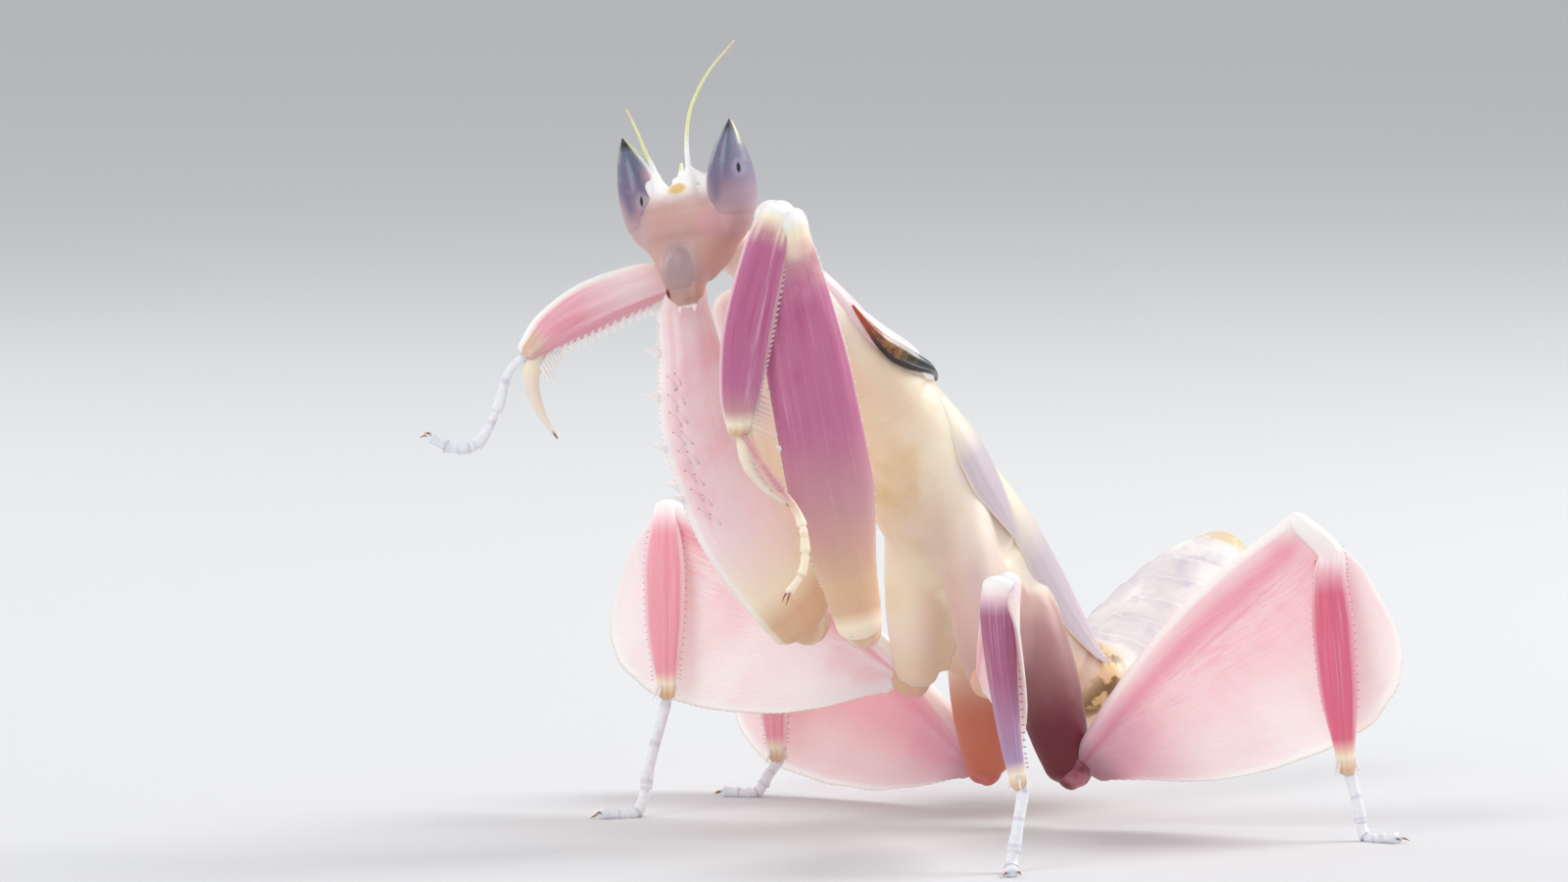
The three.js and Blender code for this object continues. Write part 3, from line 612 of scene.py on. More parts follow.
class GraspingLeg:
    """The lofts of one grasping leg."""

    def __init__(self, name, hip, hip_end, base, knee, ankle, claw, toes, bow, swell, root, over, stout):
        self.name = name
        self.way = 1 if name == "left" else -1
        self.hip_end, self.base, self.knee, self.ankle = map(Vector, (hip_end, base, knee, ankle))
        self.claw = [Vector(p) for p in claw]
        self.toes = [Vector(p) for p in toes]
        self.side = plane_side(base, knee, ankle)
        self.thigh_way = (self.knee - self.base).normalized()
        belly = self.side.cross(self.thigh_way).normalized()
        shin_back = self.side.cross((self.ankle - self.knee).normalized()).normalized()
        self.coxa = Loft(shares(hip, hip_end, [
            (0, 1.25, 1.45), (0.2, 1.2, 1.4), (0.6, 0.9, 1.1), (1, 0.8, 0.85),
        ]), self.side)
        self.knuckle = Loft([
            (self.hip_end + Vector((0, 0, -0.75)), 0.62, 0.68),
            (self.hip_end.lerp(self.base, 0.5) + Vector((0, 0, -0.75)), 0.8, 0.85),
            (self.base + Vector((0, 0, 0.1)), 0.8, root * 0.7),
        ], self.side)
        self.thigh = Loft(bowed(shares(base, knee, [
            (0, 0.95, root), (0.12, 1.0, root + 0.3, 0.1 + bow * 0.4), (0.35, 1.0, 2.1 + swell, 0.15 + bow),
            (0.6, 0.98, 2.05 + swell, 0.1 + bow), (0.82, 0.92, 1.6, bow * 0.5), (0.97, 0.85, 1.2),
        ]), belly), self.side)
        shin = bowed(shares(knee, ankle, [
            (0.035, 0.62, 0.78), (0.2, 0.58, 1.08, -0.35), (0.55, 0.55, 1.22, -0.62),
            (0.85, 0.5, 0.95, -0.45), (1, 0.42, 0.55, -0.1),
        ]), shin_back)
        outwards = [over * share for share in (0.5, 1, 1, 0.6, 0)]
        self.shin = Loft([
            (at + self.side * by, wide, deep) for (at, wide, deep), by in zip(shin, outwards)
        ], self.side)
        self.hook = Loft([
            (self.knee.lerp(self.ankle, 0.93), 0.36, stout * 0.52),
            (self.claw[0], 0.3, stout * 0.42), (self.claw[1], 0.19, stout * 0.25), (self.claw[2], 0.03, 0.03),
        ], self.side)


GRASPING = (
    GraspingLeg(
        "left", hip=(-2.0, -7.2, 25.2), hip_end=(1.3, -5.2, 10.9), base=(3.02, -7.18, 10.4),
        knee=(0.95, -10.5, 29.8), ankle=(0.7, -12.4, 19.5),
        claw=[(0.72, -12.05, 18.1), (1.32, -11.5, 16.88), (2.3, -10.6, 15.9)],
        toes=[(1.45, -12.45, 18.8), (2.3, -11.85, 17.4), (3.2, -11.1, 15.8), (3.6, -11.0, 14.7),
              (3.7, -11.2, 13.1), (3.4, -11.7, 12.2)],
        bow=-0.1, swell=0.0, root=1.1, over=0.55, stout=0.75,
    ),
    GraspingLeg(
        "right", hip=(-5.5, -7.4, 25.1), hip_end=(-4.4, -3.4, 10.5), base=(-3.13, -5.54, 10.05),
        knee=(-5.6, -11.1, 26.2), ankle=(-6.4, -19.3, 23.0),
        claw=[(-6.3, -19.2, 21.9), (-5.8, -19.1, 20.4), (-5.1, -18.6, 19.1)],
        toes=[(-6.75, -20.1, 22.2), (-7.0, -20.7, 20.3), (-7.3, -21.7, 18.8), (-7.9, -22.6, 18.7),
              (-8.4, -23.4, 19.2)],
        bow=1.2, swell=0.3, root=1.75, over=0.0, stout=1.0,
    ),
)

# A petal's outline: places along the thigh, and the width there as a share of the greatest.
PETAL = [
    (0, 0.13), (0.05, 0.23), (0.15, 0.43), (0.26, 0.62), (0.42, 0.81), (0.56, 0.93),
    (0.68, 1.0), (0.81, 0.97), (0.9, 0.85), (0.96, 0.68), (1, 0.4),
]
PETAL_BEND = 2.4
BACK_ARCH = 0.9
RIM_LEAD = 0.08
# What lies over the trunk, each in rows of station, turn, height, half width and half depth:
# the shield, the dark crescent behind it, and the wing pads with how far round they are turned.
SHIELD = (
    (1.4, 0, -0.6, 1.1, 0.5), (2.0, 0, -0.58, 1.7, 0.8), (3.0, 0, -0.47, 1.65, 0.9),
    (3.6, 0, -0.52, 1.9, 0.95), (3.86, 0, -0.85, 1.35, 0.7),
)
RIM = (
    (2.6, 58, 0.3, 0.04, 0.05), (2.85, 66, 0.4, 0.1, 0.2), (3.1, 68, 0.42, 0.14, 0.36),
    (3.35, 65, 0.42, 0.16, 0.48), (3.6, 57, 0.42, 0.16, 0.42), (3.83, 44, 0.4, 0.13, 0.24),
    (3.98, 31, 0.26, 0.07, 0.08), (4.06, 20, 0.12, 0.03, 0.03),
)
PADS = {
    "forewing": (58, ((4.2, 52, -0.14, 0.6, 0.2), (4.7, 56, 0.05, 1.45, 0.22), (5.1, 62, 0.1, 1.5, 0.22),
                      (5.5, 70, 0.12, 1.0, 0.2), (5.85, 78, 0.14, 0.3, 0.1))),
    "hindwing": (54, ((5.2, 46, -0.14, 0.8, 0.2), (6.0, 50, 0.07, 1.5, 0.22), (6.7, 52, 0.1, 1.6, 0.22),
                      (7.4, 55, 0.12, 1.2, 0.2), (8.0, 63, 0.16, 0.45, 0.12), (8.2, 67, 0.2, 0.12, 0.06))),
}
PAD_BEND = 2.7
# Spines of the grasping thighs: station and turn of the strong ones; for each inner row its
# turn, first station, gap, count and length.
EDGE_SPINES = ((2.35, 0), (2.48, -8), (2.88, -6), (3.4, -6), (3.92, -6))
INNER_SPINES = ((34, 2.1, 0.2, 8, 0.62), (46, 2.0, 0.22, 8, 0.75))
# Hips with flesh between them, and how far down it reaches.
WEBS = (
    ("midleg_left", "hindleg_left", 0.75), ("midleg_right", "hindleg_right", 0.75),
    ("midleg_left", "midleg_right", 0.4), ("hindleg_left", "hindleg_right", 0.4),
)


def petal_width(share):
    """The petal's width along the thigh, as a share of its greatest, smoothed between its rows."""
    low, high = max(share - 0.025, 0.0), min(share + 0.025, 1.0)
    total = 0.0
    for place in (low, (low + share) / 2, share, (share + high) / 2, high):
        after = max(1, next((i for i, row in enumerate(PETAL) if row[0] >= place), len(PETAL) - 1))
        (a, first), (b, second) = PETAL[after - 1], PETAL[after]
        total += first + (second - first) * (place - a) / (b - a)
    return total / 5


class WalkingLeg:
    """The lofts of one walking leg."""

    def __init__(self, name, hip, joint, knee, ankle, foot, toes, reach, girth, lean, ahead, stout=0.0,
                 drop=0.0):
        self.name = name
        self.seed = sum(map(ord, name)) % 97
        self.joint, self.knee, self.ankle = map(Vector, (joint, knee, ankle))
        self.reach = reach
        thigh = (self.knee - self.joint).normalized()
        front = plane_side(joint, knee, ankle)
        front = -front if front.y > 0 else front
        under = front.cross(thigh).normalized()
        under = -under if under.z > 0 else under
        angle = math.radians(lean)
        petal_way = under * math.cos(angle) - front * math.sin(angle)
        base = self.joint + thigh * 0.9
        self.span = (self.knee - base).length
        rows = [(share, half * girth, half * girth) for share, half in (
            (0, 0.5), (0.25, 0.98), (0.45, 1.2), (0.62, 1.22), (0.8, 1.1), (1, 0.8),
        )]
        self.coxa = Loft(shares(hip, joint, rows), front)
        self.knuckle = Loft([
            (self.joint - thigh * 0.2, 0.62, 0.66), (self.joint + thigh * 0.3, 0.8, 0.85),
            (self.joint + thigh * 0.95, 0.66, 0.72),
        ], front)
        rows = [(0, 0.55, 0.6), *((share, 0.62, 0.62) for share in (0.25, 0.5, 0.75)), (1, 0.6, 0.62)]
        self.petal = Loft(shares(base, knee, rows), thigh.cross(petal_way))
        rows = [(0, 0.44, 0.58), (0.12, 0.44, 0.64), (0.35, 0.4, 0.85), (0.6, 0.38, 0.8), (0.85, 0.36, 0.55),
                (1, 0.36, 0.42)]
        ahead_by = [value * ahead for value in (0.5, 0.75, 0.85, 0.75, 0.55, 0.3)]
        top = self.knee + petal_way * drop
        stations = [
            (at + front * by, wide * (1 + stout * (1 - row[0] ** 2)), deep)
            for (at, wide, deep), by, row in zip(shares(top, ankle, rows), ahead_by, rows)
        ]
        if drop:
            stations.insert(0, (self.knee + front * 0.25, 0.46, 0.5))
        self.shin_start = 0.15 if drop else 0.0
        self.shin = Loft(stations, front)
        self.tread = Loft([
            (ankle, 0.3, 0.3), (self.ankle.lerp(Vector(foot), 0.55), 0.25, 0.25), (foot, 0.27, 0.25),
            (toes, 0.24, 0.22),
        ], front)


WALKING = {leg.name: leg for leg in (
    WalkingLeg(
        "midleg_left", hip=(-0.7, 1.8, 18.4), joint=(3.0, 0.7, 7.1), knee=(13.1, -6.82, 12.9),
        ankle=(14.6, -7.17, 3.9), foot=(15.2, -8.5, 0.22), toes=(16.3, -9.4, 0.22),
        reach=0.5, girth=1.15, lean=4, ahead=0.75, stout=0.9,
    ),
    WalkingLeg(
        "midleg_right", hip=(-3.0, 1.5, 19.2), joint=(-3.3, 1.8, 6.5), knee=(-14.8, -4.1, 14.3),
        ankle=(-12.7, -5.8, 5.7), foot=(-12.4, -8.0, 0.22), toes=(-13.0, -9.6, 0.22),
        reach=0.54, girth=1.3, lean=9, ahead=0.8,
    ),
    WalkingLeg(
        "hindleg_left", hip=(-0.9, 5.4, 13.6), joint=(3.5, 5.5, 2.4), knee=(13.1, 11.4, 14.7),
        ankle=(15.7, 12.1, 3.3), foot=(16.8, 12.2, 0.22), toes=(18.3, 12.7, 0.22),
        reach=0.56, girth=1.35, lean=9, ahead=0.8, drop=2.0,
    ),
    WalkingLeg(
        "hindleg_right", hip=(-3.3, 5.3, 12.9), joint=(-3.6, 6.6, 1.9), knee=(-16.1, 4.0, 10.6),
        ankle=(-14.8, 3.0, 1.9), foot=(-15.2, 1.8, 0.22), toes=(-16.3, 0.7, 0.22),
        reach=0.54, girth=1.35, lean=9, ahead=0.8,
    ),
)}


# ---------------------------------------------------------------- the body's one skin
def body_finish(c):
    skin = flesh("Body skin")
    along, deep, hip, dusk, ember, rosy, side = skin.marks("along", "deep", "tip", "x", "y", "z", "across")
    soft, wide, fine = skin.noise(0.3), skin.noise(0.16, 2.0), skin.noise(2.2, 4.0)
    specks, blots = skin.noise(0.55), skin.noise(1.1)
    front, tail = along.rise(0.66, 0.6), along.rise(0.66, 0.72)
    ring = along.near(0.645, 0.03) * abs(side).rise(0.35, 0.8)
    base = skin.ramp(
        along, (0.0, c.cream), (0.13, c.blush), (0.22, c.cream), (0.56, c.cream), (0.64, c.tan),
        (0.7, c.milk), (0.96, c.milk), (1.0, c.cream),
    )
    # Painted shade in the tail's segment seams: faint lilac bands just before each segment's end.
    seam_shades = [along.near(station / TRUNK_LOFT.gaps - 0.004, 0.012) for station in TAIL_SEGMENTS]
    base = skin.paint(
        base,
        (c.butter, soft.rise(0.48, 0.72) * along.near(0.37, 0.13) * 0.55),
        (c.tan, wide.rise(0.45, 0.65) * front * 0.28),
        (c.blush, soft.rise(0.5, 0.3) * front * 0.45),
        # The first of the two coats below is painted shade: a greyish violet wash over the side of the
        # thorax.
        (c.haze_and_shade, wide.rise(0.3, 0.6) * side.rise(0.0, 0.7) * along.near(0.48, 0.16) * 0.8),
        (c.haze_and_shade, deep.rise(0.3, 0.85) * along.near(0.47, 0.16) * 0.85),
        (c.tan, deep.rise(-0.1, -0.8) * along.rise(0.6, 0.7) * 0.55),
        (c.haze_and_shade, tail * soft.rise(0.3, 0.6) * 0.5),
        (c.lilac, specks.rise(0.5, 0.72) * tail * deep.rise(-0.4, 0.3) * 0.5),
        *((c.lilac, band * deep.rise(-0.2, 0.3) * soft.rise(0.4, 0.65) * 0.18) for band in seam_shades),
        (c.butter, ring * blots.rise(0.36, 0.44) * 0.7),
        (c.bark, ring * blots.rise(0.44, 0.54) * 0.9),
        (c.butter, along.rise(0.95, 1.0) * 0.6),
        # Towards the foot of each hip: tints that are partly the hips' own colour and partly painted reddish
        # reflected light.
        (c.dusty, rosy * hip.rise(0.3, 0.8) * side.rise(-0.2, 0.3) * 0.55),
        (c.cheek, rosy * hip.rise(0.7, 1.0) * 0.35),
        (c.cheek, dusk * hip.rise(0.0, 0.2) * 0.45),
        (c.dusty, dusk * hip.rise(0.05, 0.4) * 0.8),
        (c.dusk, dusk * hip.rise(0.02, 0.65) * 0.6),
        (c.dusk, dusk * hip.rise(0.5, 0.85)),
        (c.ember, ember * hip.rise(0.3, 0.75) * 0.85),
    )
    return skin.done(base, 0.34 + fine * 0.2, fine * 0.4 + skin.cells(5.0) * 0.15, 0.3, 0.035)


def web(skin, first, second, reach):
    """The flesh that fills the hollow between two hips, down to reach, a share of their length."""
    down = (first.joint - first.coxa.path.at(0) + second.joint - second.coxa.path.at(0)).normalized()
    rows = []
    for part, deep in ((0.15, 0.7), (0.4, 0.9), (0.75, 0.75), (1.0, 0.35)):
        ends = [leg.coxa.path.at(reach * part) for leg in (first, second)]
        side = ends[1] - ends[0]
        side -= down * side.dot(down)
        rows.append((ends[0].lerp(ends[1], 0.5), side.length / 2 + 0.2, deep))
    skin.tube(Loft(rows, side.normalized()), rings=40, sides=40, domes=(0.3, 0.3))


def body_relief(share, across, deep, step):
    """How far the trunk's skin stands out: folds, the tail's steps and keel, and its side seams."""
    station = share * TRUNK_LOFT.gaps
    lift = 0.0
    flare = 0.0
    for edge in TAIL_SEGMENTS:
        before = edge - station
        if 0 <= before < TAIL_SLOPE:
            flare = max(flare, step * (1 - before / TAIL_SLOPE) ** 2)
        lift -= step * 0.5 * bell(station, edge + 0.05, 0.04)
    lift += flare * (0.5 + 0.5 * smooth(deep, -0.8, 0.2))
    lift -= sum(0.14 * bell(station, edge, 0.06) for edge in THORAX_FOLDS)
    lift -= 0.1 * bell(across, 0.0, 0.08) * smooth(-deep, 0.2, 0.8) * smooth(7.5 - station, 0, 1)
    lift += 0.12 * bell(across, 0.0, 0.05) * smooth(deep, 0.2, 0.8) * smooth(station, 8.5, 9.5)
    return lift - 0.12 * bell(abs(across), 0.93, 0.05) * smooth(station, 8.3, 9.2)


def mark_and_relieve(skin, hips, step):
    """Marks each point with its place on the trunk and on the nearest hip, and models the relief."""
    trunk = Finder(TRUNK_LOFT)
    finders = {name: Finder(loft, 120) for name, loft in hips.items()}
    lifts = {}
    for vert in skin.mesh.verts:
        share, across, deep, off = trunk.find(vert.co)
        found = {name: finder.find(vert.co) for name, finder in finders.items()}
        name = min(found, key=lambda hip: abs(found[hip][3]))
        hip_share, _, _, hip_off = found[name]
        on_trunk = smooth(off, 0.5, 0.05)
        on_hip = smooth(abs(hip_off), 0.55, 0.1) * (1 - on_trunk * 0.6)
        weight = max(on_hip, 1 - on_trunk)
        skin.mark(vert, along=share, across=across, deep=deep, tip=hip_share * weight)
        # These weights say where the hip tints go. The tints are partly own colour and partly painted reddish
        # reflected light.
        for mark, owner in (("x", "hindleg_left"), ("y", "hindleg_right"), ("z", "midleg")):
            skin.mark(vert, **{mark: weight if name.startswith(owner) else 0.0})
        lift = 0.03 * noise.noise(vert.co * 0.9) + 0.015 * noise.noise(vert.co * 2.6)
        lift += body_relief(share, across, deep, step)
        lifts[vert] = lift * on_trunk + 0.02 * noise.noise(vert.co * 1.6) * (1 - on_trunk)
    skin.relieve(lambda vert: lifts[vert])


class MANTIS_OT_body(bpy.types.Operator):
    """Builds the one skin of neck, thorax, tail and hips"""

    bl_idname = "mantis.body"
    bl_label = "Body skin"

    def execute(self, context):
        sizes, colours = context.scene.mantis_sizes, context.scene.mantis_colours
        rough = Skin()
        rough.tube(TRUNK_LOFT, rings=150, sides=64, domes=(0.3, 0.45))
        for leg in GRASPING:
            rough.tube(leg.coxa, rings=50, sides=32, domes=(0.6, 0.5))
        for leg in WALKING.values():
            rough.tube(leg.coxa, rings=40, sides=32, domes=(0.5, 0.3))
        for first, second, reach in WEBS:
            web(rough, WALKING[first], WALKING[second], reach)
        hips = {f"forecoxa_{leg.name}": leg.coxa for leg in GRASPING}
        hips.update({f"{leg.name}_coxa": leg.coxa for leg in WALKING.values()})
        skin = rough.fused(sizes.skin_grain / MM, 44)
        mark_and_relieve(skin, hips, sizes.segment_step / MM)
        nodes = ["neck", "prothorax", "mesothorax", "metathorax"]
        nodes += [f"abdomen_{part}" for part in ("base", "front", "rear", "tip")]
        skin.piece("body_skin", body_finish(colours), nodes + list(hips), "thorax")
        return {"FINISHED"}


# ---------------------------------------------------------------- head
def face_colours(skin, c):
    """The colours of the face, which also run on to the foot of each eye."""
    side, ahead, up = skin.marks("x", "y", "z")
    at = skin.vector(side, ahead, up)
    soft, fine = skin.noise(0.9), skin.noise(5.0, 4.0)
    plates = [((0.0, -1.3, -2.25), (1.0 * size, 1.8, 1.35 * size), strength)
              for size, strength in ((1.25, 0.45), (0.85, 0.5))]
    return skin.paint(
        c.face,
        (c.cheek, soft.rise(0.35, 0.75) * 0.18),
        (c.lilac, abs(side).rise(0.9, 2.4) * up.rise(-1.6, 0.2) * 0.3),
        (c.rose, skin.spot(at, (1.9, -0.9, -0.3), (1.0, 1.5, 0.9)) * 0.22),
        (c.cheek, skin.spot(at, (1.75, -0.4, -1.8), (1.2, 1.6, 1.0)) * 0.22),
        (c.cheek, skin.spot(at, (-1.5, -0.4, -2.0), (1.1, 1.6, 1.0)) * 0.15),
        (c.cheek, skin.spot(at, (0.0, -1.2, -3.3), (1.25, 1.4, 0.75)) * 0.5),
        *((c.mouth_grey, skin.spot(at, middle, sizes) * strength) for middle, sizes, strength in plates),
        (c.milk, up.rise(0.6, 1.7) * abs(side).rise(1.9, 1.4)),
        (c.butter, skin.spot(at, (0.28, -0.6, 1.5), (0.56, 0.9, 0.28)) * 0.9),
        (c.straw, skin.spot(at, (0.42, -0.2, 2.6), (0.3, 0.6, 0.4)) * 0.6),
        (c.dusk, skin.spot(at, (-0.72, -1.35, -3.28), (0.17, 0.6, 0.26))),
        (c.milk, up.rise(-3.85, -4.0) * 0.8),
        (c.tan, fine.rise(0.62, 0.75) * 0.2),
    )


def head_finish(c):
    skin = flesh("Face")
    fine = skin.noise(5.0, 4.0)
    height = fine * 0.5 + skin.cells(14.0) * 0.2
    return skin.done(face_colours(skin, c), 0.4 + fine * 0.15, height, 0.25, 0.03)


def eye_loft(way):
    """The right eye stands a little nearer to the middle than the left one."""
    return Loft(mirrored(EYE, way if way > 0 else way * 0.95))


def head_lift(vert):
    """Sinks the edges of the mouth plate, the slit of the mouth and the seam of the forehead."""
    x, _, z = vert.co
    ring = math.hypot(x / 0.8, (z + 2.3) / 1.15)
    deep = 0.025 * bell(ring, 1.0, 0.12)
    deep += 0.05 * bell(z, -3.12 + 0.12 * x * x, 0.05) * smooth(0.75 - abs(x), 0, 0.15)
    deep += 0.02 * bell(x, 0, 0.06) * smooth(-z, -1.3, -0.6) * smooth(z, -1.0, -0.3)
    return 0.01 * noise.noise(vert.co * 2.2) - deep * smooth(-vert.normal.y, 0.1, 0.5)


class MANTIS_OT_head(bpy.types.Operator):
    """Builds the head with its forehead lobes, mouth plate, jaws and palps"""

    bl_idname = "mantis.head"
    bl_label = "Head"

    def execute(self, context):
        sizes, colours = context.scene.mantis_sizes, context.scene.mantis_colours
        rough = Skin()
        rough.tube(Loft(HEAD, section=blunt_oval(2.2)), rings=90, sides=72, domes=(0.25, 0.2))
        rough.bead((0, -1.0, -2.3), (0.76, 0.73, 1.15), detail=4)
        rough.bead((0, -1.08, -3.42), (0.52, 0.56, 0.45), detail=4)
        for way in (1, -1):
            rough.tube(eye_loft(way), rings=70, sides=48, domes=(0.2, 0.06))
            rough.bead((way * 0.56, -0.98, -3.12), (0.42, 0.54, 0.66), detail=4)
            for rings, sides, domes, stations in HEAD_LOBES:
                rough.tube(Loft(mirrored(stations, way)), rings, sides, domes)
        rough.bead((0.05, -0.42, 1.45), (0.55, 0.36, 0.24), detail=3)
        rough.bead((0.0, -0.22, 1.85), (0.2, 0.2, 0.24), detail=3)
        rough.tube(Loft(HEAD_KNOB), rings=14, sides=16, domes=(0.1, 0.1))
        skin = rough.fused(sizes.head_grain / MM, 24)
        skin.relieve(head_lift)
        for vert in skin.mesh.verts:
            skin.mark(vert, x=vert.co.x, y=vert.co.y, z=vert.co.z)
        skin.piece("head_capsule", head_finish(colours), ["head"], "face", HEAD_PLACE)
        return {"FINISHED"}


def eye_finish(c):
    skin = flesh("Eyes", coat_roughness=0.2, emission_strength=0.0)
    x, y, up, side, out = skin.marks("x", "y", "z", "across", "tip")
    at = skin.vector(x, y, up)
    fine = skin.noise(6.0)
    spots = ((3.28, -0.02, 1.98), (-1.78, -0.44, 1.2))
    pupils = []
    for middle in spots:
        pupils.append((c.lilac, skin.spot(at, middle, (0.3, 0.6, 0.5)) * 0.45))
        pupils.append((c.black, skin.spot(at, middle, (0.07, 0.3, 0.28))))
    eye = skin.paint(
        skin.ramp(
            (up + 0.3) / 4.6, (0.0, c.eye_low), (0.25, c.eye_low), (0.45, c.eye_violet_and_shade), (0.62, c.eye_top),
            (0.85, c.eye_top), (0.93, c.black), (1.0, c.green),
        ),
        (c.lilac, side.rise(0.15, 0.75) * out.rise(0.0, 0.5) * 0.35),
        # Painted shade: a violet band down the same side of both eyes.
        (c.eye_violet_and_shade, side.near(-0.12, 0.42) * up.rise(0.2, 1.0) * up.rise(3.9, 3.2) * 0.8),
        (c.eye_low, out.rise(-0.55, -0.9) * up.rise(3.2, 2.2) * 0.9),
        (c.straw, abs(side).rise(0.8, 0.98) * up.rise(2.6, 3.8) * 0.6),
        (c.lilac, fine.rise(0.55, 0.75) * 0.18),
        *pupils,
    )
    over = abs(x).rise(1.3, 1.75).most(up.rise(1.0, 1.5)) * up.rise(-0.2, 0.75)
    skin.feed(skin.shader.inputs["Coat Weight"], over * 0.25 + 0.1)
    base = skin.paint(face_colours(skin, c), (eye, over))
    return skin.done(base, 0.42 - over * 0.12 + fine * 0.1, skin.cells(11.0), 0.12, 0.02)


class MANTIS_OT_eyes(bpy.types.Operator):
    """Builds the two pointed eyes, whose feet dive under the skin of the face"""

    bl_idname = "mantis.eyes"
    bl_label = "Eyes"

    def execute(self, context):
        finish = eye_finish(context.scene.mantis_colours)
        for side, way in SIDES:
            skin = Skin()
            skin.tube(eye_loft(way), rings=110, sides=56, start=0.18, domes=(0.3, 0.06),
                      lift=lambda share, angle: 0.15 * smooth(share, 0.18, 0.29) - 0.13)
            for vert in skin.mesh.verts:
                skin.mark(vert, tip=vert[skin.marks["across"]] * way, x=vert.co.x, y=vert.co.y, z=vert.co.z)
            skin.piece(f"eye_{side}_cone", finish, [f"eye_{side}"], "eye", HEAD_PLACE)
        return {"FINISHED"}


def feeler_finish(c):
    skin = flesh("Feelers")
    along, = skin.marks("along")
    rings = (along * FEELER_RINGS).sine()
    base = skin.paint(
        skin.ramp(along, (0.0, c.milk), (0.3, c.milk), (0.5, c.straw), (0.85, c.straw), (1.0, c.tan)),
        (c.bark, rings.rise(0.7, 1.0) * along.rise(0.4, 0.8) * 0.2),
    )
    return skin.done(base, 0.4 + skin.noise(3.0) * 0.2, rings, 0.3, 0.02)


class MANTIS_OT_feelers(bpy.types.Operator):
    """Builds the two ringed feelers on the head and the two on the tail"""

    bl_idname = "mantis.feelers"
    bl_label = "Feelers"

    def execute(self, context):
        sizes = context.scene.mantis_sizes
        finish = feeler_finish(context.scene.mantis_colours)
        thick, thin = sizes.feeler_base / MM, sizes.feeler_tip / MM
        for side, way in SIDES:
            points = FEELERS[side]
            halves = [thick + (thin - thick) * (i / (len(points) - 1)) ** 0.6 for i in range(len(points))]
            skin = Skin()
            skin.tube(Loft([(at, half, half) for at, half in zip(points, halves)]), rings=200, sides=12,
                      domes=(0.1, 0.05), lift=lambda share, angle: 0.005 * math.sin(share * FEELER_RINGS))
            skin.piece(f"feeler_{side}", finish, [f"antenna_{side}"], "feeler", HEAD_PLACE)
            stations = [((TAIL_MIDDLE + way * out, y, z), half, half) for out, y, z, half in TAIL_FEELER]
            tail = Skin()
            tail.tube(Loft(stations), rings=60, sides=20, domes=(0.1, 0.2),
                      lift=lambda share, angle: 0.025 * abs(math.sin(share * 28)))
            tail.piece(f"tail_feeler_{side}", finish, [f"cercus_{side}"], "feeler")
        return {"FINISHED"}


# ---------------------------------------------------------------- shields and pads
def shield_finish(c):
    skin = flesh("Back shield")
    along, side = skin.marks("along", "across")
    across = abs(side)
    fine = skin.noise(5.0, 4.0)
    base = skin.paint(
        skin.ramp(along, (0.0, c.cream), (0.25, c.blush), (0.6, c.blush), (0.85, c.milk), (1.0, c.blush)),
        (c.rose, skin.noise(0.8).rise(0.45, 0.7) * 0.35),
        (c.milk, across.rise(0.3, 0.05) * 0.6),
        (c.lilac, across.rise(0.75, 1.0) * along.rise(0.5, 0.9) * 0.4),
    )
    return skin.done(base, 0.34 + fine * 0.2, fine + skin.cells(6.0) * 0.4, 0.3, 0.04)


def shield_lift(share, angle):
    """A keel down the middle and a groove across, both on the upper side."""
    groove = 0.1 * bell(share, 0.42 + 0.05 * math.cos(angle) ** 2, 0.03)
    keel = 0.08 * bell(math.cos(angle), 0.0, 0.12)
    return smooth(math.sin(angle), 0.3, 1.0) * (keel - groove) + 0.02 * math.sin(share * 9 + angle * 3)


class MANTIS_OT_shield(bpy.types.Operator):
    """Builds the shield over the neck and the front hips"""

    bl_idname = "mantis.shield"
    bl_label = "Back shield"

    def execute(self, context):
        skin = Skin()
        skin.tube(Loft(over_trunk(SHIELD)), rings=90, sides=72, domes=(0.3, 0.15), lift=shield_lift)
        skin.piece("back_shield", shield_finish(context.scene.mantis_colours), ["pronotum"], "back_shield")
        return {"FINISHED"}


def rim_finish(c):
    skin = Finish("Shield rim", coat_weight=0.4, coat_roughness=0.1)
    along, deep = skin.marks("along", "deep")
    fine = skin.streaks(30.0, 1.5)
    base = skin.paint(
        skin.ramp(along, (0.0, c.ember), (0.2, c.bark), (0.4, c.bark), (0.58, c.green), (1.0, c.green)),
        (c.ember, along.rise(0.45, 0.1) * fine.rise(0.35, 0.6) * 0.6),
        (c.butter, fine.rise(0.45, 0.7) * along.near(0.4, 0.3) * 0.35),
        # Painted highlights: blue grey glints on the rim's upper face, and a thin glint line lower down.
        (c.rim_glint, deep.near(0.55, 0.3) * along.rise(0.4, 0.65) * fine.rise(0.3, 0.6) * 0.75),
        (c.rim_glint, deep.near(-0.42, 0.12) * along.rise(0.4, 0.6) * 0.8),
        (c.black, deep.rise(-0.55, -0.75) * along.rise(0.1, 0.3)),
    )
    return skin.done(base, 0.2 + fine * 0.2, fine, 0.3, 0.04)


def rim_lift(share, angle):
    return 0.03 * math.cos(3 * angle) + 0.05 * bell(math.sin(angle), -0.85, 0.12)


class MANTIS_OT_rims(bpy.types.Operator):
    """Builds the two dark crescents behind the shield"""

    bl_idname = "mantis.rims"
    bl_label = "Shield rims"

    def execute(self, context):
        finish = rim_finish(context.scene.mantis_colours)
        for side, way in SIDES:
            skin = Skin()
            skin.tube(Loft(over_trunk(RIM, way)), rings=80, sides=40, domes=(0.25, 0.2), lift=rim_lift)
            skin.piece(f"shield_rim_{side}", finish, [f"pronotum_rim_{side}"], "dark_rim")
        return {"FINISHED"}


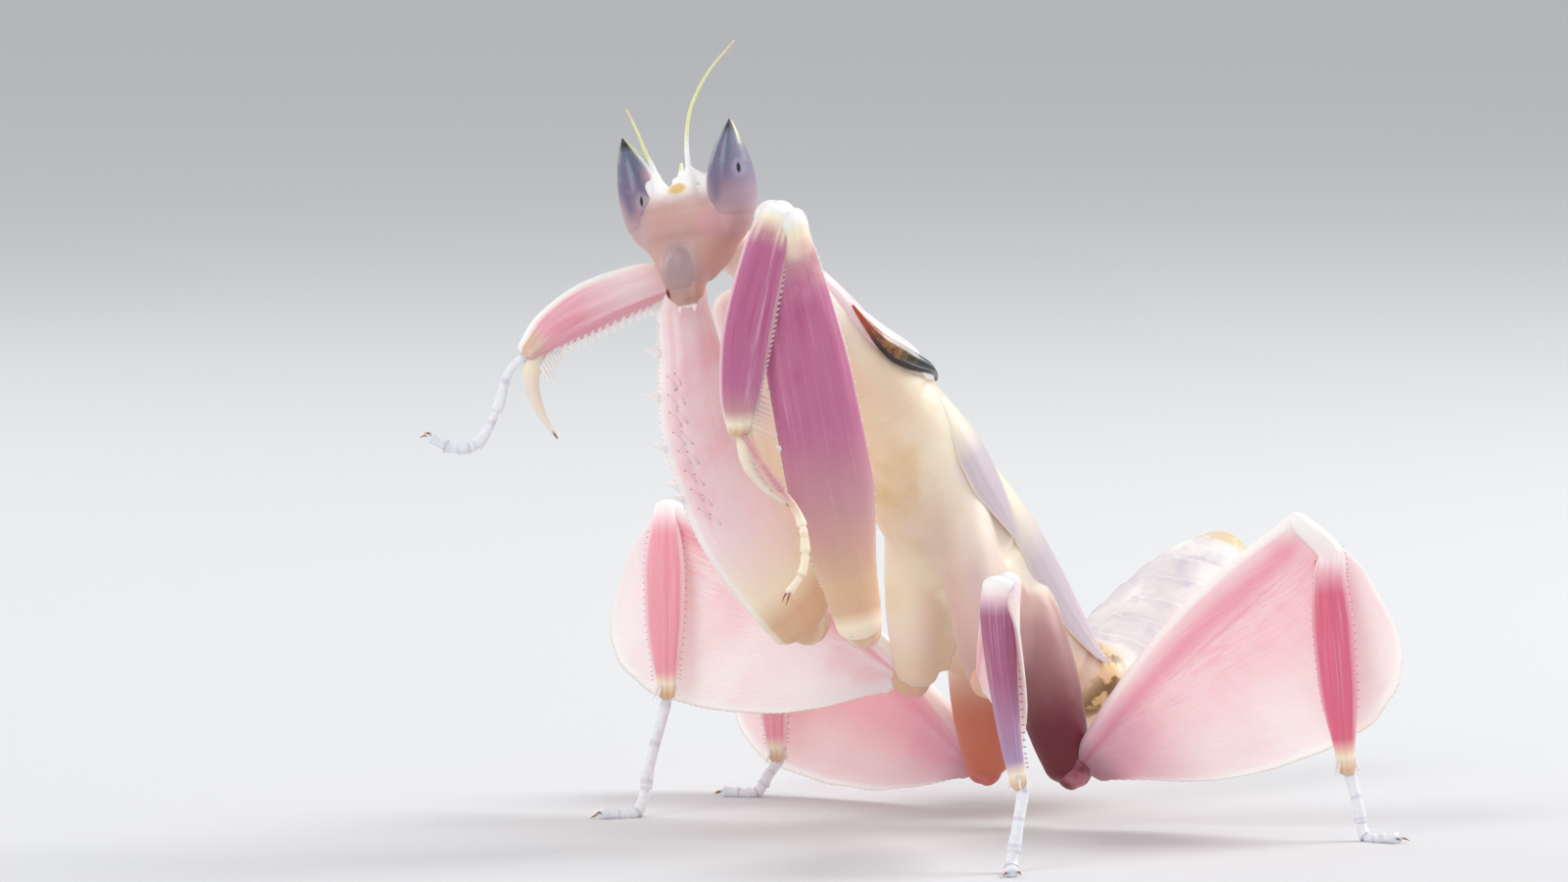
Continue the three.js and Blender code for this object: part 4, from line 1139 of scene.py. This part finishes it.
def pad_finish(c):
    skin = flesh("Wing pads")
    along, across = skin.marks("along", "across")
    veins = skin.streaks(2.5, 6.0)
    base = skin.paint(
        skin.ramp(along, (0.0, c.cream), (0.08, c.cream), (0.3, c.haze_and_shade), (1.0, c.haze_and_shade)),
        (c.lilac, veins.rise(0.4, 0.8) * along.rise(0.1, 0.4) * 0.3),
        (c.rose, veins.rise(0.4, 0.25) * 0.15),
        (c.cream, abs(across).rise(0.94, 0.99) * 0.6),
    )
    return skin.done(base, 0.32 + veins * 0.2, veins, 0.25, 0.05)


def curved_lens(angle, wide, deep, share, shrink):
    """A flat oval bent round the trunk."""
    across = wide * math.cos(angle)
    return across, deep * math.sin(angle) - across ** 2 / (2 * PAD_BEND), 0.0


def pad_lift(share, turn):
    """Fine ribs that fan out, and a raised edge."""
    ribs = math.cos(math.cos(turn) * 14) * 0.012 * smooth(share, 0.1, 0.4)
    return ribs + 0.03 * bell(abs(math.cos(turn)), 0.97, 0.04)


class MANTIS_OT_pads(bpy.types.Operator):
    """Builds the two pairs of wing pads"""

    bl_idname = "mantis.pads"
    bl_label = "Wing pads"

    def execute(self, context):
        finish = pad_finish(context.scene.mantis_colours)
        for kind, (tilt, rows) in PADS.items():
            angle = math.radians(tilt)
            for side, way in SIDES:
                pad_side = (math.cos(angle), -way * 0.83 * math.sin(angle), -way * 0.55 * math.sin(angle))
                loft = Loft(over_trunk(rows, way), pad_side, curved_lens)
                skin = Skin()
                skin.tube(loft, rings=70, sides=64, domes=(0.5, 0.1), lift=pad_lift)
                skin.piece(f"{kind}_{side}", finish, [f"{kind}_pad_{side}"], "wing_pad")
        return {"FINISHED"}


# ---------------------------------------------------------------- grasping legs
def knuckle_finish(name, upper, lower):
    skin = flesh(name)
    fine = skin.noise(3.0, 4.0)
    base = skin.paint(upper, (lower, skin.noise(0.5).rise(0.35, 0.65) * 0.5))
    return skin.done(base, 0.34 + fine * 0.2, fine, 0.2, 0.04)


def grasping_thigh_finish(c, name):
    skin = flesh(f"Grasping thigh {name}")
    along, deep, tip = skin.marks("along", "deep", "tip")
    streaks, threads = skin.streaks(2.5, 4.0), skin.streaks(5.0, 18.0)
    soft, fine = skin.noise(0.5), skin.noise(4.0, 4.0)
    if name == "left":
        base = skin.ramp(
            along, (0.0, c.cream), (0.06, c.tan), (0.18, c.tan), (0.34, c.dusty), (0.52, c.mauve),
            (0.78, c.mauve), (0.87, c.dusty), (0.94, c.cream), (1.0, c.milk),
        )
        own = (
            (c.magenta, soft.rise(0.42, 0.7) * along.near(0.62, 0.25) * 0.6),
            (c.magenta, deep.near(0.1, 0.3) * along.near(0.7, 0.15) * 0.5),
            (c.rose, streaks.rise(0.45, 0.7) * along.rise(0.4, 0.6) * 0.18),
            (c.cream, soft.rise(0.4, 0.65) * along.near(0.86, 0.12) * 0.5),
            (c.blush, threads.rise(0.55, 0.8) * 0.2),
            (c.milk, deep.rise(-0.86, -1.0) * along.rise(0.4, 0.75) * 0.9),
        )
    else:
        base = skin.ramp(
            along, (0.0, c.tan), (0.08, c.tan), (0.2, c.cream), (0.36, c.blush), (0.8, c.blush), (1.0, c.milk)
        )
        own = (
            (c.rose, soft.rise(0.4, 0.7) * along.rise(0.3, 0.5) * 0.3),
            (c.rose, streaks.rise(0.5, 0.75) * along.rise(0.15, 0.4) * 0.18),
            (c.cheek, streaks.rise(0.45, 0.2) * along.rise(0.7, 0.2) * 0.25),
            (c.milk, threads.rise(0.6, 0.85) * 0.2),
            (c.milk, deep.rise(0.9, 1.0) * 0.6),
        )
    base = skin.paint(
        base, *own,
        (c.bark, fine.rise(0.72, 0.78) * along.rise(0.08, 0.0) * 0.5),
        (c.milk, tip.rise(0.0, 0.04) * tip.rise(1.1, 1.0)),
        (c.black, tip.rise(2.86, 2.98)),
    )
    return skin.done(base, 0.34 + fine * 0.18, streaks * 0.5 + fine * 0.3, 0.25, 0.05)


def thigh_lift(share, angle):
    side, deep = math.cos(angle), math.sin(angle)
    relief = 0.018 * math.cos(deep * 9) * smooth(abs(side), 0.3, 0.7)
    relief -= 0.08 * bell(deep, 0.72, 0.09) * smooth(share, 0.3, 0.45)
    relief -= 0.05 * bell(deep, -0.25 + 0.9 * share, 0.05) * smooth(0.45 - share, 0.0, 0.25)
    knee = 0.1 * bell(share, 0.98, 0.03)
    return relief * smooth(share, 0.02, 0.25) * smooth(1 - share, 0.0, 0.1) + knee


def thigh_spines(skin, leg):
    """White spines along the belly edge, thinner ones with black tips inside, and tiny teeth."""
    thigh, along = leg.thigh, leg.thigh_way
    for station, turn in EDGE_SPINES:
        skin.spine(thigh, station, turn, -0.25, 0.62, along * 0.5, 0.23, reach=0.5 if leg.way > 0 else 1.0,
                   bow=along * 0.05, sides=12, rings=8, along=station / thigh.gaps)
    for turn, first, gap, count, tall in INNER_SPINES if leg.way < 0 else ():
        for i in range(count):
            station = first + gap * i
            wander = noise.noise(Vector((station * 3, turn, 0.5)))
            reach = tall * (0.8 + 0.5 * wander)
            root = thigh.on(station, turn + 8 + 5 * wander, -0.06)
            tip = thigh.on(station + 0.1, turn, 0.2) + along * reach * 0.5
            skin.thorn(root, tip, 0.07, along * 0.04, sides=7, rings=6, point=0.3, tone=(2.0, 1.0),
                       along=station / thigh.gaps, deep=0.3)
    for i in range(60):
        for turn in (-4, 180) if i % 2 == 0 else (-4,):
            skin.spine(thigh, 0.9 + 3.6 * i / 60, turn, -0.05, 0.12, along * 0.05, 0.06, sides=5, rings=1)


class MANTIS_OT_grasping_thighs(bpy.types.Operator):
    """Builds the thighs of the grasping legs with their spines, and the knuckles under them"""

    bl_idname = "mantis.grasping_thighs"
    bl_label = "Grasping thighs"

    def execute(self, context):
        colours = context.scene.mantis_colours
        finish = knuckle_finish("Grasping knuckles", colours.tan, colours.cream)
        for leg in GRASPING:
            knuckle = Skin()
            knuckle.tube(leg.knuckle, rings=30, sides=32, domes=(0.45, 0.8),
                         lift=lambda share, angle: -0.08 * bell(share, 0.45, 0.06))
            knuckle.piece(f"grasping_knuckle_{leg.name}", finish, [f"foretrochanter_{leg.name}"], "coxa")
            skin = Skin()
            skin.tube(leg.thigh, rings=110, sides=72, domes=(0.75, 0.5), lift=thigh_lift)
            if leg.way > 0:
                skin.bead(leg.knee + Vector((-0.3, 0, -0.5)), (0.85, 0.8, 0.8), detail=4, along=1.0)
                skin.bead(leg.knee + Vector((0.2, 0.1, -0.4)), (0.7, 0.75, 0.7), detail=4, along=1.0)
            thigh_spines(skin, leg)
            skin.piece(f"grasping_thigh_{leg.name}", grasping_thigh_finish(colours, leg.name),
                       [f"forefemur_{leg.name}"], "mauve_leg" if leg.way > 0 else "pink_leg")
        return {"FINISHED"}


def grasping_shin_finish(c, name):
    skin = flesh(f"Grasping shin {name}")
    along, deep, tip = skin.marks("along", "deep", "tip")
    streaks, threads = skin.streaks(2.5, 5.0), skin.streaks(6.0, 20.0)
    if name == "left":
        base = skin.ramp(
            along, (0.0, c.milk), (0.06, c.cream), (0.16, c.dusty), (0.24, c.mauve), (0.7, c.mauve),
            (0.84, c.dusty), (0.94, c.cream), (1.0, c.tan),
        )
        own = (
            (c.cream, streaks.rise(0.4, 0.7) * along.near(0.14, 0.12) * 0.6),
            (c.magenta, streaks.rise(0.45, 0.7) * along.near(0.45, 0.3) * 0.7),
            (c.blush, deep.near(0.25, 0.3) * threads.rise(0.5, 0.7) * 0.6),
            (c.cream, deep.rise(0.7, 0.95) * along.rise(0.8, 0.5) * 0.75),
            (c.blush, deep.rise(-0.9, -1.0) * 0.6),
        )
    else:
        base = skin.ramp(
            along, (0.0, c.blush), (0.35, c.blush), (0.6, c.rose), (0.8, c.rose), (0.92, c.tan), (1.0, c.tan)
        )
        own = (
            (c.blush, streaks.rise(0.35, 0.7) * 0.55),
            (c.rose, streaks.rise(0.55, 0.75) * along.rise(0.1, 0.4) * 0.3),
            (c.milk, deep.rise(-0.7, -0.98)),
            (c.rose, deep.rise(0.42, 0.55) * 0.8),
        )
    base = skin.paint(
        base, *own,
        (c.milk, tip.rise(0.0, 0.04) * tip.rise(1.1, 1.0) * (0.35 if name == "left" else 1.0)),
        (c.cream, tip.rise(1.1, 1.3) * tip.rise(2.2, 2.1)),
        (c.lilac, tip.rise(1.2, 1.6) * tip.rise(2.2, 2.1) * 0.25),
        (c.bark, tip.rise(1.95, 2.02)),
    )
    return skin.done(base, 0.24 + streaks * 0.2, streaks * 0.6 + threads * 0.4, 0.4, 0.07)


def grasping_shin_lift(share, angle):
    ridges = 0.03 * math.cos(math.sin(angle) * 9) * smooth(abs(math.cos(angle)), 0.2, 0.6)
    return ridges * smooth(share, 0.05, 0.25)


def comb(skin, shin):
    """Flat white teeth side by side along the belly edge, with slits between them."""
    for i in range(19):
        station = shin.gaps * (0.08 + 0.7 * i / 18)
        _, along, _, _ = shin.frame(station / shin.gaps)
        middle = shin.on(station, 32, -0.1)
        edge = shin.on(station, 4, 0.12)
        down = (edge - middle).normalized()
        turn = Matrix((along, along.cross(down).normalized(), down)).transposed().to_4x4()
        skin.bead(middle.lerp(edge, 0.5), (0.13, 0.13, 0.52), 3, turn, along=station / shin.gaps, tip=0.3)


def braid(skin, shin):
    """Small slanted beads, the folded teeth, along the belly edge."""
    for i in range(44):
        station = shin.gaps * (0.1 + 0.78 * i / 43)
        _, along, _, deep = shin.frame(station / shin.gaps)
        turn = deep.lerp(-along, 0.45).to_track_quat("Z", "Y").to_matrix().to_4x4()
        skin.bead(shin.on(station, 22, 0.0), (0.07, 0.07, 0.2), 2, turn, along=station / shin.gaps, deep=0.6,
                  tip=0.3)


def long_teeth(skin, leg):
    """Free spines towards the ankle, and a few between the end claw and the foot."""
    shin = leg.shin
    claw_way = (leg.claw[-1] - leg.claw[0]).normalized()
    for turn in (-9, 14):
        for i in range(8):
            part = i / 7
            station = shin.gaps * (0.74 + 0.23 * part)
            root = shin.on(station, turn, -0.25)
            out = shin.on(station, turn, 0.5) - root
            way = out.normalized().lerp(claw_way, 0.35 + 0.3 * part).normalized()
            skin.thorn(root, root + way * (0.8 + 0.7 * part), 0.15 if leg.way < 0 else 0.08, sides=8, rings=5,
                       along=station / shin.gaps)
    for i in range(7 if leg.way > 0 else 0):
        root = leg.hook.path.at(0.15 + 0.1 * i)
        goal = leg.toes[0].lerp(leg.toes[1], 0.05 + 0.15 * i)
        skin.thorn(root, root.lerp(goal, 0.85), 0.05, sides=7, rings=4, along=1.0)


class MANTIS_OT_grasping_shins(bpy.types.Operator):
    """Builds the shins of the grasping legs with their combs of teeth and end claws"""

    bl_idname = "mantis.grasping_shins"
    bl_label = "Grasping shins"

    def execute(self, context):
        colours = context.scene.mantis_colours
        for leg in GRASPING:
            skin = Skin()
            skin.tube(leg.shin, rings=90, sides=56, domes=(0.5, 0.3), lift=grasping_shin_lift)
            for vert in skin.tube(leg.hook, rings=40, sides=24, domes=(0, 0.02)):
                skin.mark(vert, tip=1.1 + 0.95 * vert[skin.marks["along"]], along=1.0)
            (braid if leg.way > 0 else comb)(skin, leg.shin)
            long_teeth(skin, leg)
            skin.piece(f"grasping_shin_{leg.name}", grasping_shin_finish(colours, leg.name),
                       [f"foretibia_{leg.name}"], "shin")
        return {"FINISHED"}


def foot_finish(c, name, first, rest, joint):
    skin = flesh(name)
    along, tip = skin.marks("along", "tip")
    fine = skin.noise(4.0, 4.0)
    base = skin.paint(
        skin.ramp(along, (0.0, first), (0.4, first), (0.55, rest), (1.0, rest)),
        (joint, fine.rise(0.45, 0.7) * 0.25),
        (joint, (along * 31).sine().rise(0.8, 1.0) * 0.4),
        (c.bark, tip.rise(0.1, 0.6)),
    )
    return skin.done(base, 0.36 + fine * 0.2, fine, 0.3, 0.05)


def foot(skin, loft, splits, half, claw_way):
    """A foot of five lengths, split at four shares of it, with small pads under it and two claws."""
    edges = (0.0, *splits, 1.0)

    def lift(share, angle):
        low, high = next((pair for pair in zip(edges, splits) if share < pair[1]), edges[-2:])
        run = (share - low) / (high - low)
        return half * (0.42 * run ** 3 - 0.3 * bell(run, 0.0, 0.08))

    skin.tube(loft, rings=90, sides=24, domes=(0.12, 0.15), lift=lift)
    middle, along, wide, _ = loft.frame(1.0)
    for way in (1, -1):
        root = middle + wide * way * half * 0.4
        tip = root + along * 0.5 + wide * way * 0.32 + claw_way * 0.16
        skin.thorn(root, tip, 0.085, claw_way * -0.1 + wide * way * 0.06, sides=8, rings=8)


class MANTIS_OT_grasping_feet(bpy.types.Operator):
    """Builds the slim feet of the grasping legs"""

    bl_idname = "mantis.grasping_feet"
    bl_label = "Grasping feet"

    def execute(self, context):
        c = context.scene.mantis_colours
        looks = {
            "left": (0.16, (0.16, 0.13, 0.14, 0.2, 0.21, 0.2, 0.16), (c.dusty, c.cream, c.tan)),
            "right": (0.24, (0.24, 0.2, 0.2, 0.26, 0.27, 0.24), (c.bone, c.bone, c.lilac)),
        }
        for leg in GRASPING:
            half, halves, tones = looks[leg.name]
            stations = [(at, wide, wide * 0.9) for at, wide in zip([leg.ankle, *leg.toes], halves)]
            skin = Skin()
            foot(skin, Loft(stations, leg.side), (0.4, 0.6, 0.74, 0.86), half, Vector((0, 0, -1)))
            finish = foot_finish(c, f"Grasping foot {leg.name}", *tones)
            skin.piece(f"grasping_foot_{leg.name}", finish, [f"foretarsus_{leg.name}"], "foot")
        return {"FINISHED"}


# ---------------------------------------------------------------- walking legs
def petal_finish(c, name, warmth, root_tint_and_reflection):
    """warmth is how pink the petal is; the last number is how far its root is tinted mauve and wine red,
    partly own colour and partly painted reddish reflected light.
    """
    skin = flesh(name, subsurface_weight=0.55)
    along, down, side, tip = skin.marks("along", "deep", "across", "tip")
    soft = skin.noise(0.6, 3.0, 0.5, skin.vector(along * 9, down * 3, side * 0.6))
    fine = skin.noise(5.0, 4.0)
    veins = skin.noise(1.0, 2.0, 0.5, skin.vector(along * 3 + down * 6, down * 34 - along * 12, 0.0))
    base = skin.paint(
        c.blush,
        (c.rose, warmth),
        (c.rose, soft.rise(0.4, 0.75) * 0.35),
        (c.milk, down.rise(0.35, 0.75) * 0.35),
        (c.rose, down.near(0.09, 0.1) * (0.5 + 0.5 * veins)),
        (c.berry, down.near(0.17, 0.02) * along.near(0.6, 0.35) * 0.3),
        (c.milk, down.rise(-0.05, -0.6) * 0.85),
        (c.rose, veins.near(0.5, 0.045) * down.rise(0.02, 0.1) * down.rise(0.5, 0.2) * 0.35),
        (c.milk, down.rise(0.93, 0.99) * 0.8),
        (c.butter, down.rise(0.975, 1.0) * 0.45),
        (c.milk, along.rise(0.9, 1.0) * down.rise(0.4, 0.0) * 0.6),
        # The root's mauve and wine red: partly own colour, partly painted reddish reflected light.
        (c.mauve, along.rise(0.35, 0.05) * root_tint_and_reflection * 0.6),
        (c.dusk, along.rise(0.1, 0.0) * root_tint_and_reflection * 0.6),
        (c.black, tip.rise(0.4, 0.8)),
    )
    height = veins.near(0.5, 0.08) + fine * 0.35 + soft * 0.3
    return skin.done(base, 0.34 + fine * 0.2, height, 0.3, 0.05)


def petal(skin, leg, edge, teeth):
    """A thigh whose belly side runs out into a thin lobe with a wavy, finely toothed rim."""
    widths = {}

    def section(angle, wide, deep, share, shrink):
        if share not in widths:
            widths[share] = petal_width(share)
        width = max(deep, widths[share] * leg.reach * leg.span * shrink)
        down = math.sin(angle)
        if down < 0:
            arch = BACK_ARCH * math.sin(math.pi * share)
            return wide * math.cos(angle), down * deep - arch, 0.0
        depth = width * (1 - math.cos(math.pi / 2 * down))
        part = depth / width
        thin = edge + 0.14 * (1 - part)
        half = thin + (wide - thin) * max(0.0, 1 - depth / PETAL_BEND) ** 1.5
        across = min(max(2.2 * math.cos(angle), -1.0), 1.0) * half
        ripple = 0.13 * math.sin(share * 7 + leg.seed) + 0.06 * math.sin(share * 19 + part * 4 + leg.seed)
        across += ripple * part ** 2 * shrink
        jag = abs(math.sin(share * math.pi * 52)) + 0.5 * math.sin(share * 37 + leg.seed)
        depth += teeth * jag * part ** 30 * shrink
        arch = BACK_ARCH * math.sin(math.pi * share) * (1 - part)
        return across, depth - arch, RIM_LEAD * depth * share ** 2

    leg.petal.section = section
    for vert in skin.tube(leg.petal, rings=208, sides=64, domes=(0.15, 0.4)):
        sine = vert[skin.marks["deep"]]
        if sine > 0:
            skin.mark(vert, deep=1 - math.cos(math.pi / 2 * sine))


class MANTIS_OT_petals(bpy.types.Operator):
    """Builds the petal-like thighs of the walking legs, and the knuckles at their roots"""

    bl_idname = "mantis.petals"
    bl_label = "Petal thighs"

    def execute(self, context):
        sizes, c = context.scene.mantis_sizes, context.scene.mantis_colours
        looks = {
            # For each leg: the knuckle's colour, how pink the petal is, and how far its root is tinted. On
            # the hind legs, the knuckle colour and the root's tint are partly own colour and partly painted
            # reddish reflected light.
            "midleg_left": (c.tan, 0.25, 0.0), "midleg_right": (c.tan, 0.0, 0.0),
            "hindleg_left": (c.dusk, 0.2, 0.9), "hindleg_right": (c.ember, 0.6, 0.5),
        }
        for name, leg in WALKING.items():
            dark, warmth, root_tint_and_reflection = looks[name]
            knuckle = Skin()
            knuckle.tube(leg.knuckle, rings=30, sides=32, domes=(0.4, 0.2))
            knuckle.piece(f"{name}_knuckle", knuckle_finish(f"{name} knuckle", dark, c.rose),
                          [f"{name}_trochanter"], "coxa")
            skin = Skin()
            petal(skin, leg, sizes.petal_edge / MM, sizes.petal_teeth / MM)
            finish = petal_finish(c, f"{name} petal", warmth, root_tint_and_reflection)
            skin.piece(f"{name}_petal", finish, [f"{name}_femur"], "petal")
        return {"FINISHED"}


def walking_shin_finish(c, name, start, main, low, rim):
    skin = flesh(name)
    along, deep, tip = skin.marks("along", "deep", "tip")
    streaks, threads = skin.streaks(2.5, 8.0), skin.streaks(4.0, 24.0)
    base = skin.paint(
        skin.ramp(
            along, (0.0, c.milk), (start + 0.08, c.blush), (start + 0.24, main), (0.5, main), (0.84, low),
            (0.93, c.cream), (1.0, c.tan),
        ),
        (c.blush, streaks.rise(0.5, 0.75) * 0.3),
        (main, threads.rise(0.58, 0.75) * along.near(0.55, 0.35) * 0.5),
        (c.blush, abs(deep).rise(0.85, 0.99) * along.rise(0.05, 0.2) * rim),
        (c.black, tip.rise(1.3, 1.6)),
        (c.milk, tip.rise(0.02, 0.3) * tip.rise(1.1, 1.0) * 0.8),
    )
    return skin.done(base, 0.3 + streaks * 0.2, streaks * 0.6 + threads * 0.4, 0.45, 0.07)


class MANTIS_OT_walking_shins(bpy.types.Operator):
    """Builds the leaf-like ridged shins of the walking legs"""

    bl_idname = "mantis.walking_shins"
    bl_label = "Walking shins"

    def execute(self, context):
        c = context.scene.mantis_colours
        looks = {
            "midleg_left": (c.plum, c.violet, 0.0), "midleg_right": (c.rose, c.rose, 0.6),
            "hindleg_left": (c.berry, c.berry, 0.4), "hindleg_right": (c.rose, c.rose, 0.6),
        }
        for name, leg in WALKING.items():
            seen_edgewise = name == "midleg_left"
            ridged = 0.015 if seen_edgewise else 0.05

            def lift(share, angle):
                ridge = ridged * math.cos(math.sin(angle) * 8.5) * smooth(abs(math.cos(angle)), 0.1, 0.5)
                lobe = 0.16 * smooth(abs(math.sin(angle)), 0.9, 1.0)
                lobe *= smooth(share, 0.1, 0.3) * smooth(1 - share, 0.08, 0.3)
                return (ridge + lobe) * smooth(share, 0.05, 0.2)

            skin = Skin()
            skin.tube(leg.shin, rings=110, sides=56, domes=(0.45, 0.3), lift=lift)
            down = (leg.ankle - leg.knee).normalized()
            for turn in (-60, 0, 120, 180):
                skin.spine(leg.shin, leg.shin.gaps - 0.3, turn, -0.08, 0.28, down * 0.45, 0.09, lead=0.2,
                           sides=7, rings=4)
            for i in range(24):
                for turn in (-70, 250) if seen_edgewise else (0, 180):
                    skin.spine(leg.shin, 1.0 + 3.6 * i / 24, turn, 0.1, 0.24, down * 0.06, 0.035, sides=5,
                               rings=1, tone=(1.2, 0.5))
            finish = walking_shin_finish(c, f"{name} shin", leg.shin_start, *looks[name])
            skin.piece(f"{name}_shin", finish, [f"{name}_tibia"], "shin")
        return {"FINISHED"}


class MANTIS_OT_walking_feet(bpy.types.Operator):
    """Builds the feet of the walking legs"""

    bl_idname = "mantis.walking_feet"
    bl_label = "Walking feet"

    def execute(self, context):
        c = context.scene.mantis_colours
        finish = foot_finish(c, "Walking feet", c.bone, c.bone, c.lilac)
        for leg in WALKING.values():
            skin = Skin()
            foot(skin, leg.tread, (0.5, 0.66, 0.78, 0.88), 0.2, Vector((0, 0, -0.6)))
            for vert in skin.mesh.verts:
                vert.co.z = max(vert.co.z, 0.0)
            skin.piece(f"{leg.name}_foot", finish, [f"{leg.name}_tarsus"], "foot")
        return {"FINISHED"}


# ---------------------------------------------------------------- stage
# The floor's profile in metres, from its middle out to a low rim that hides the horizon.
FLOOR = ((0, 0), (1.0, 0), (2.4, 0), (2.7, 0.03), (2.9, 0.12), (3.0, 0.4))
# Each lamp's name, place and size in metres, and power in watts. All of them face one place.
LAMPS = (
    ("key", (0.05, -0.32, 0.28), 0.22, 0.45),
    ("back", (0.1, 0.34, 0.3), 0.25, 1.3),
    ("side", (-0.34, -0.05, 0.16), 0.25, 0.25),
)
LIT_PLACE = Vector((-2.0, 0.0, 16.0))
# The camera's azimuth from the front and its elevation in degrees, what it faces, and how far off in metres.
VIEW_ANGLES = (50, 4.5)
VIEW_MIDDLE = Vector((-9.9, -0.9, 17.8))
VIEW_DISTANCE = 0.45


class MANTIS_OT_stage(bpy.types.Operator):
    """Sets up the floor, the lights and the camera"""

    bl_idname = "mantis.stage"
    bl_label = "Stage"

    def execute(self, context):
        scene = context.scene
        mesh = bpy.data.meshes.new("floor")
        sheet = bmesh.new()
        profile = [sheet.verts.new((reach, 0, height)) for reach, height in FLOOR]
        edges = [sheet.edges.new(pair) for pair in zip(profile, profile[1:])]
        bmesh.ops.spin(
            sheet, geom=profile + edges, cent=(0, 0, 0), axis=(0, 0, 1), angle=2 * math.pi, steps=64
        )
        bmesh.ops.remove_doubles(sheet, verts=sheet.verts, dist=1e-4)
        bmesh.ops.recalc_face_normals(sheet, faces=sheet.faces)
        if sum(face.normal.z for face in sheet.faces) < 0:
            bmesh.ops.reverse_faces(sheet, faces=sheet.faces)
        for face in sheet.faces:
            face.smooth = True
        sheet.to_mesh(mesh)
        sheet.free()
        mesh.materials.append(Finish("Pale floor", roughness=0.85).done((0.7, 0.705, 0.715)))
        floor = bpy.data.objects.new("floor", mesh)
        scene.collection.objects.link(floor)
        world = bpy.data.worlds.new("studio")
        world.use_nodes = True
        sky = world.node_tree.nodes["Background"].inputs
        sky["Color"].default_value = (0.93, 0.94, 0.96, 1.0)
        sky["Strength"].default_value = 0.68
        scene.world = world
        for name, place, size, power in LAMPS:
            lamp = bpy.data.lights.new(name, "AREA")
            lamp.shape = "DISK"
            lamp.size = size
            lamp.energy = power
            holder = bpy.data.objects.new(name, lamp)
            holder.location = place
            holder.rotation_euler = (LIT_PLACE * MM - holder.location).to_track_quat("-Z", "Y").to_euler()
            scene.collection.objects.link(holder)
        lens = bpy.data.cameras.new("camera")
        lens.lens = 216
        lens.sensor_width = 36
        lens.clip_start = 0.01
        lens.clip_end = 20
        camera = bpy.data.objects.new("camera", lens)
        azimuth, elevation = (math.radians(angle) for angle in VIEW_ANGLES)
        level = math.cos(elevation)
        back = Vector((math.sin(azimuth) * level, -math.cos(azimuth) * level, math.sin(elevation)))
        camera.location = VIEW_MIDDLE * MM + back * VIEW_DISTANCE
        camera.rotation_euler = (-back).to_track_quat("-Z", "Y").to_euler()
        scene.collection.objects.link(camera)
        scene.camera = camera
        scene.view_settings.view_transform = "Standard"
        return {"FINISHED"}


OPERATORS = (
    MANTIS_OT_body, MANTIS_OT_head, MANTIS_OT_eyes, MANTIS_OT_feelers, MANTIS_OT_shield, MANTIS_OT_rims,
    MANTIS_OT_pads, MANTIS_OT_grasping_thighs, MANTIS_OT_grasping_shins, MANTIS_OT_grasping_feet,
    MANTIS_OT_petals, MANTIS_OT_walking_shins, MANTIS_OT_walking_feet, MANTIS_OT_stage,
)


class MANTIS_PT_panel(bpy.types.Panel):
    """Lists the pieces in the order in which they are built"""

    bl_label = "Orchid mantis"
    bl_idname = "MANTIS_PT_panel"
    bl_space_type = "VIEW_3D"
    bl_region_type = "UI"
    bl_category = "Mantis"

    def draw(self, context):
        for group in (context.scene.mantis_sizes, context.scene.mantis_colours):
            box = self.layout.box()
            for name in group.__annotations__:
                box.prop(group, name)
        for operator in OPERATORS:
            self.layout.operator(operator.bl_idname)


CLASSES = (MantisSizes, MantisColours, *OPERATORS, MANTIS_PT_panel)


def register():
    for made in CLASSES:
        bpy.utils.register_class(made)
    bpy.types.Scene.mantis_sizes = bpy.props.PointerProperty(type=MantisSizes)
    bpy.types.Scene.mantis_colours = bpy.props.PointerProperty(type=MantisColours)


def unregister():
    del bpy.types.Scene.mantis_colours
    del bpy.types.Scene.mantis_sizes
    for made in reversed(CLASSES):
        bpy.utils.unregister_class(made)


def main():
    register()
    for operator in OPERATORS:
        area, name = operator.bl_idname.split(".")
        getattr(getattr(bpy.ops, area), name)()
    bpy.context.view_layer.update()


if __name__ == "__main__":
    main()
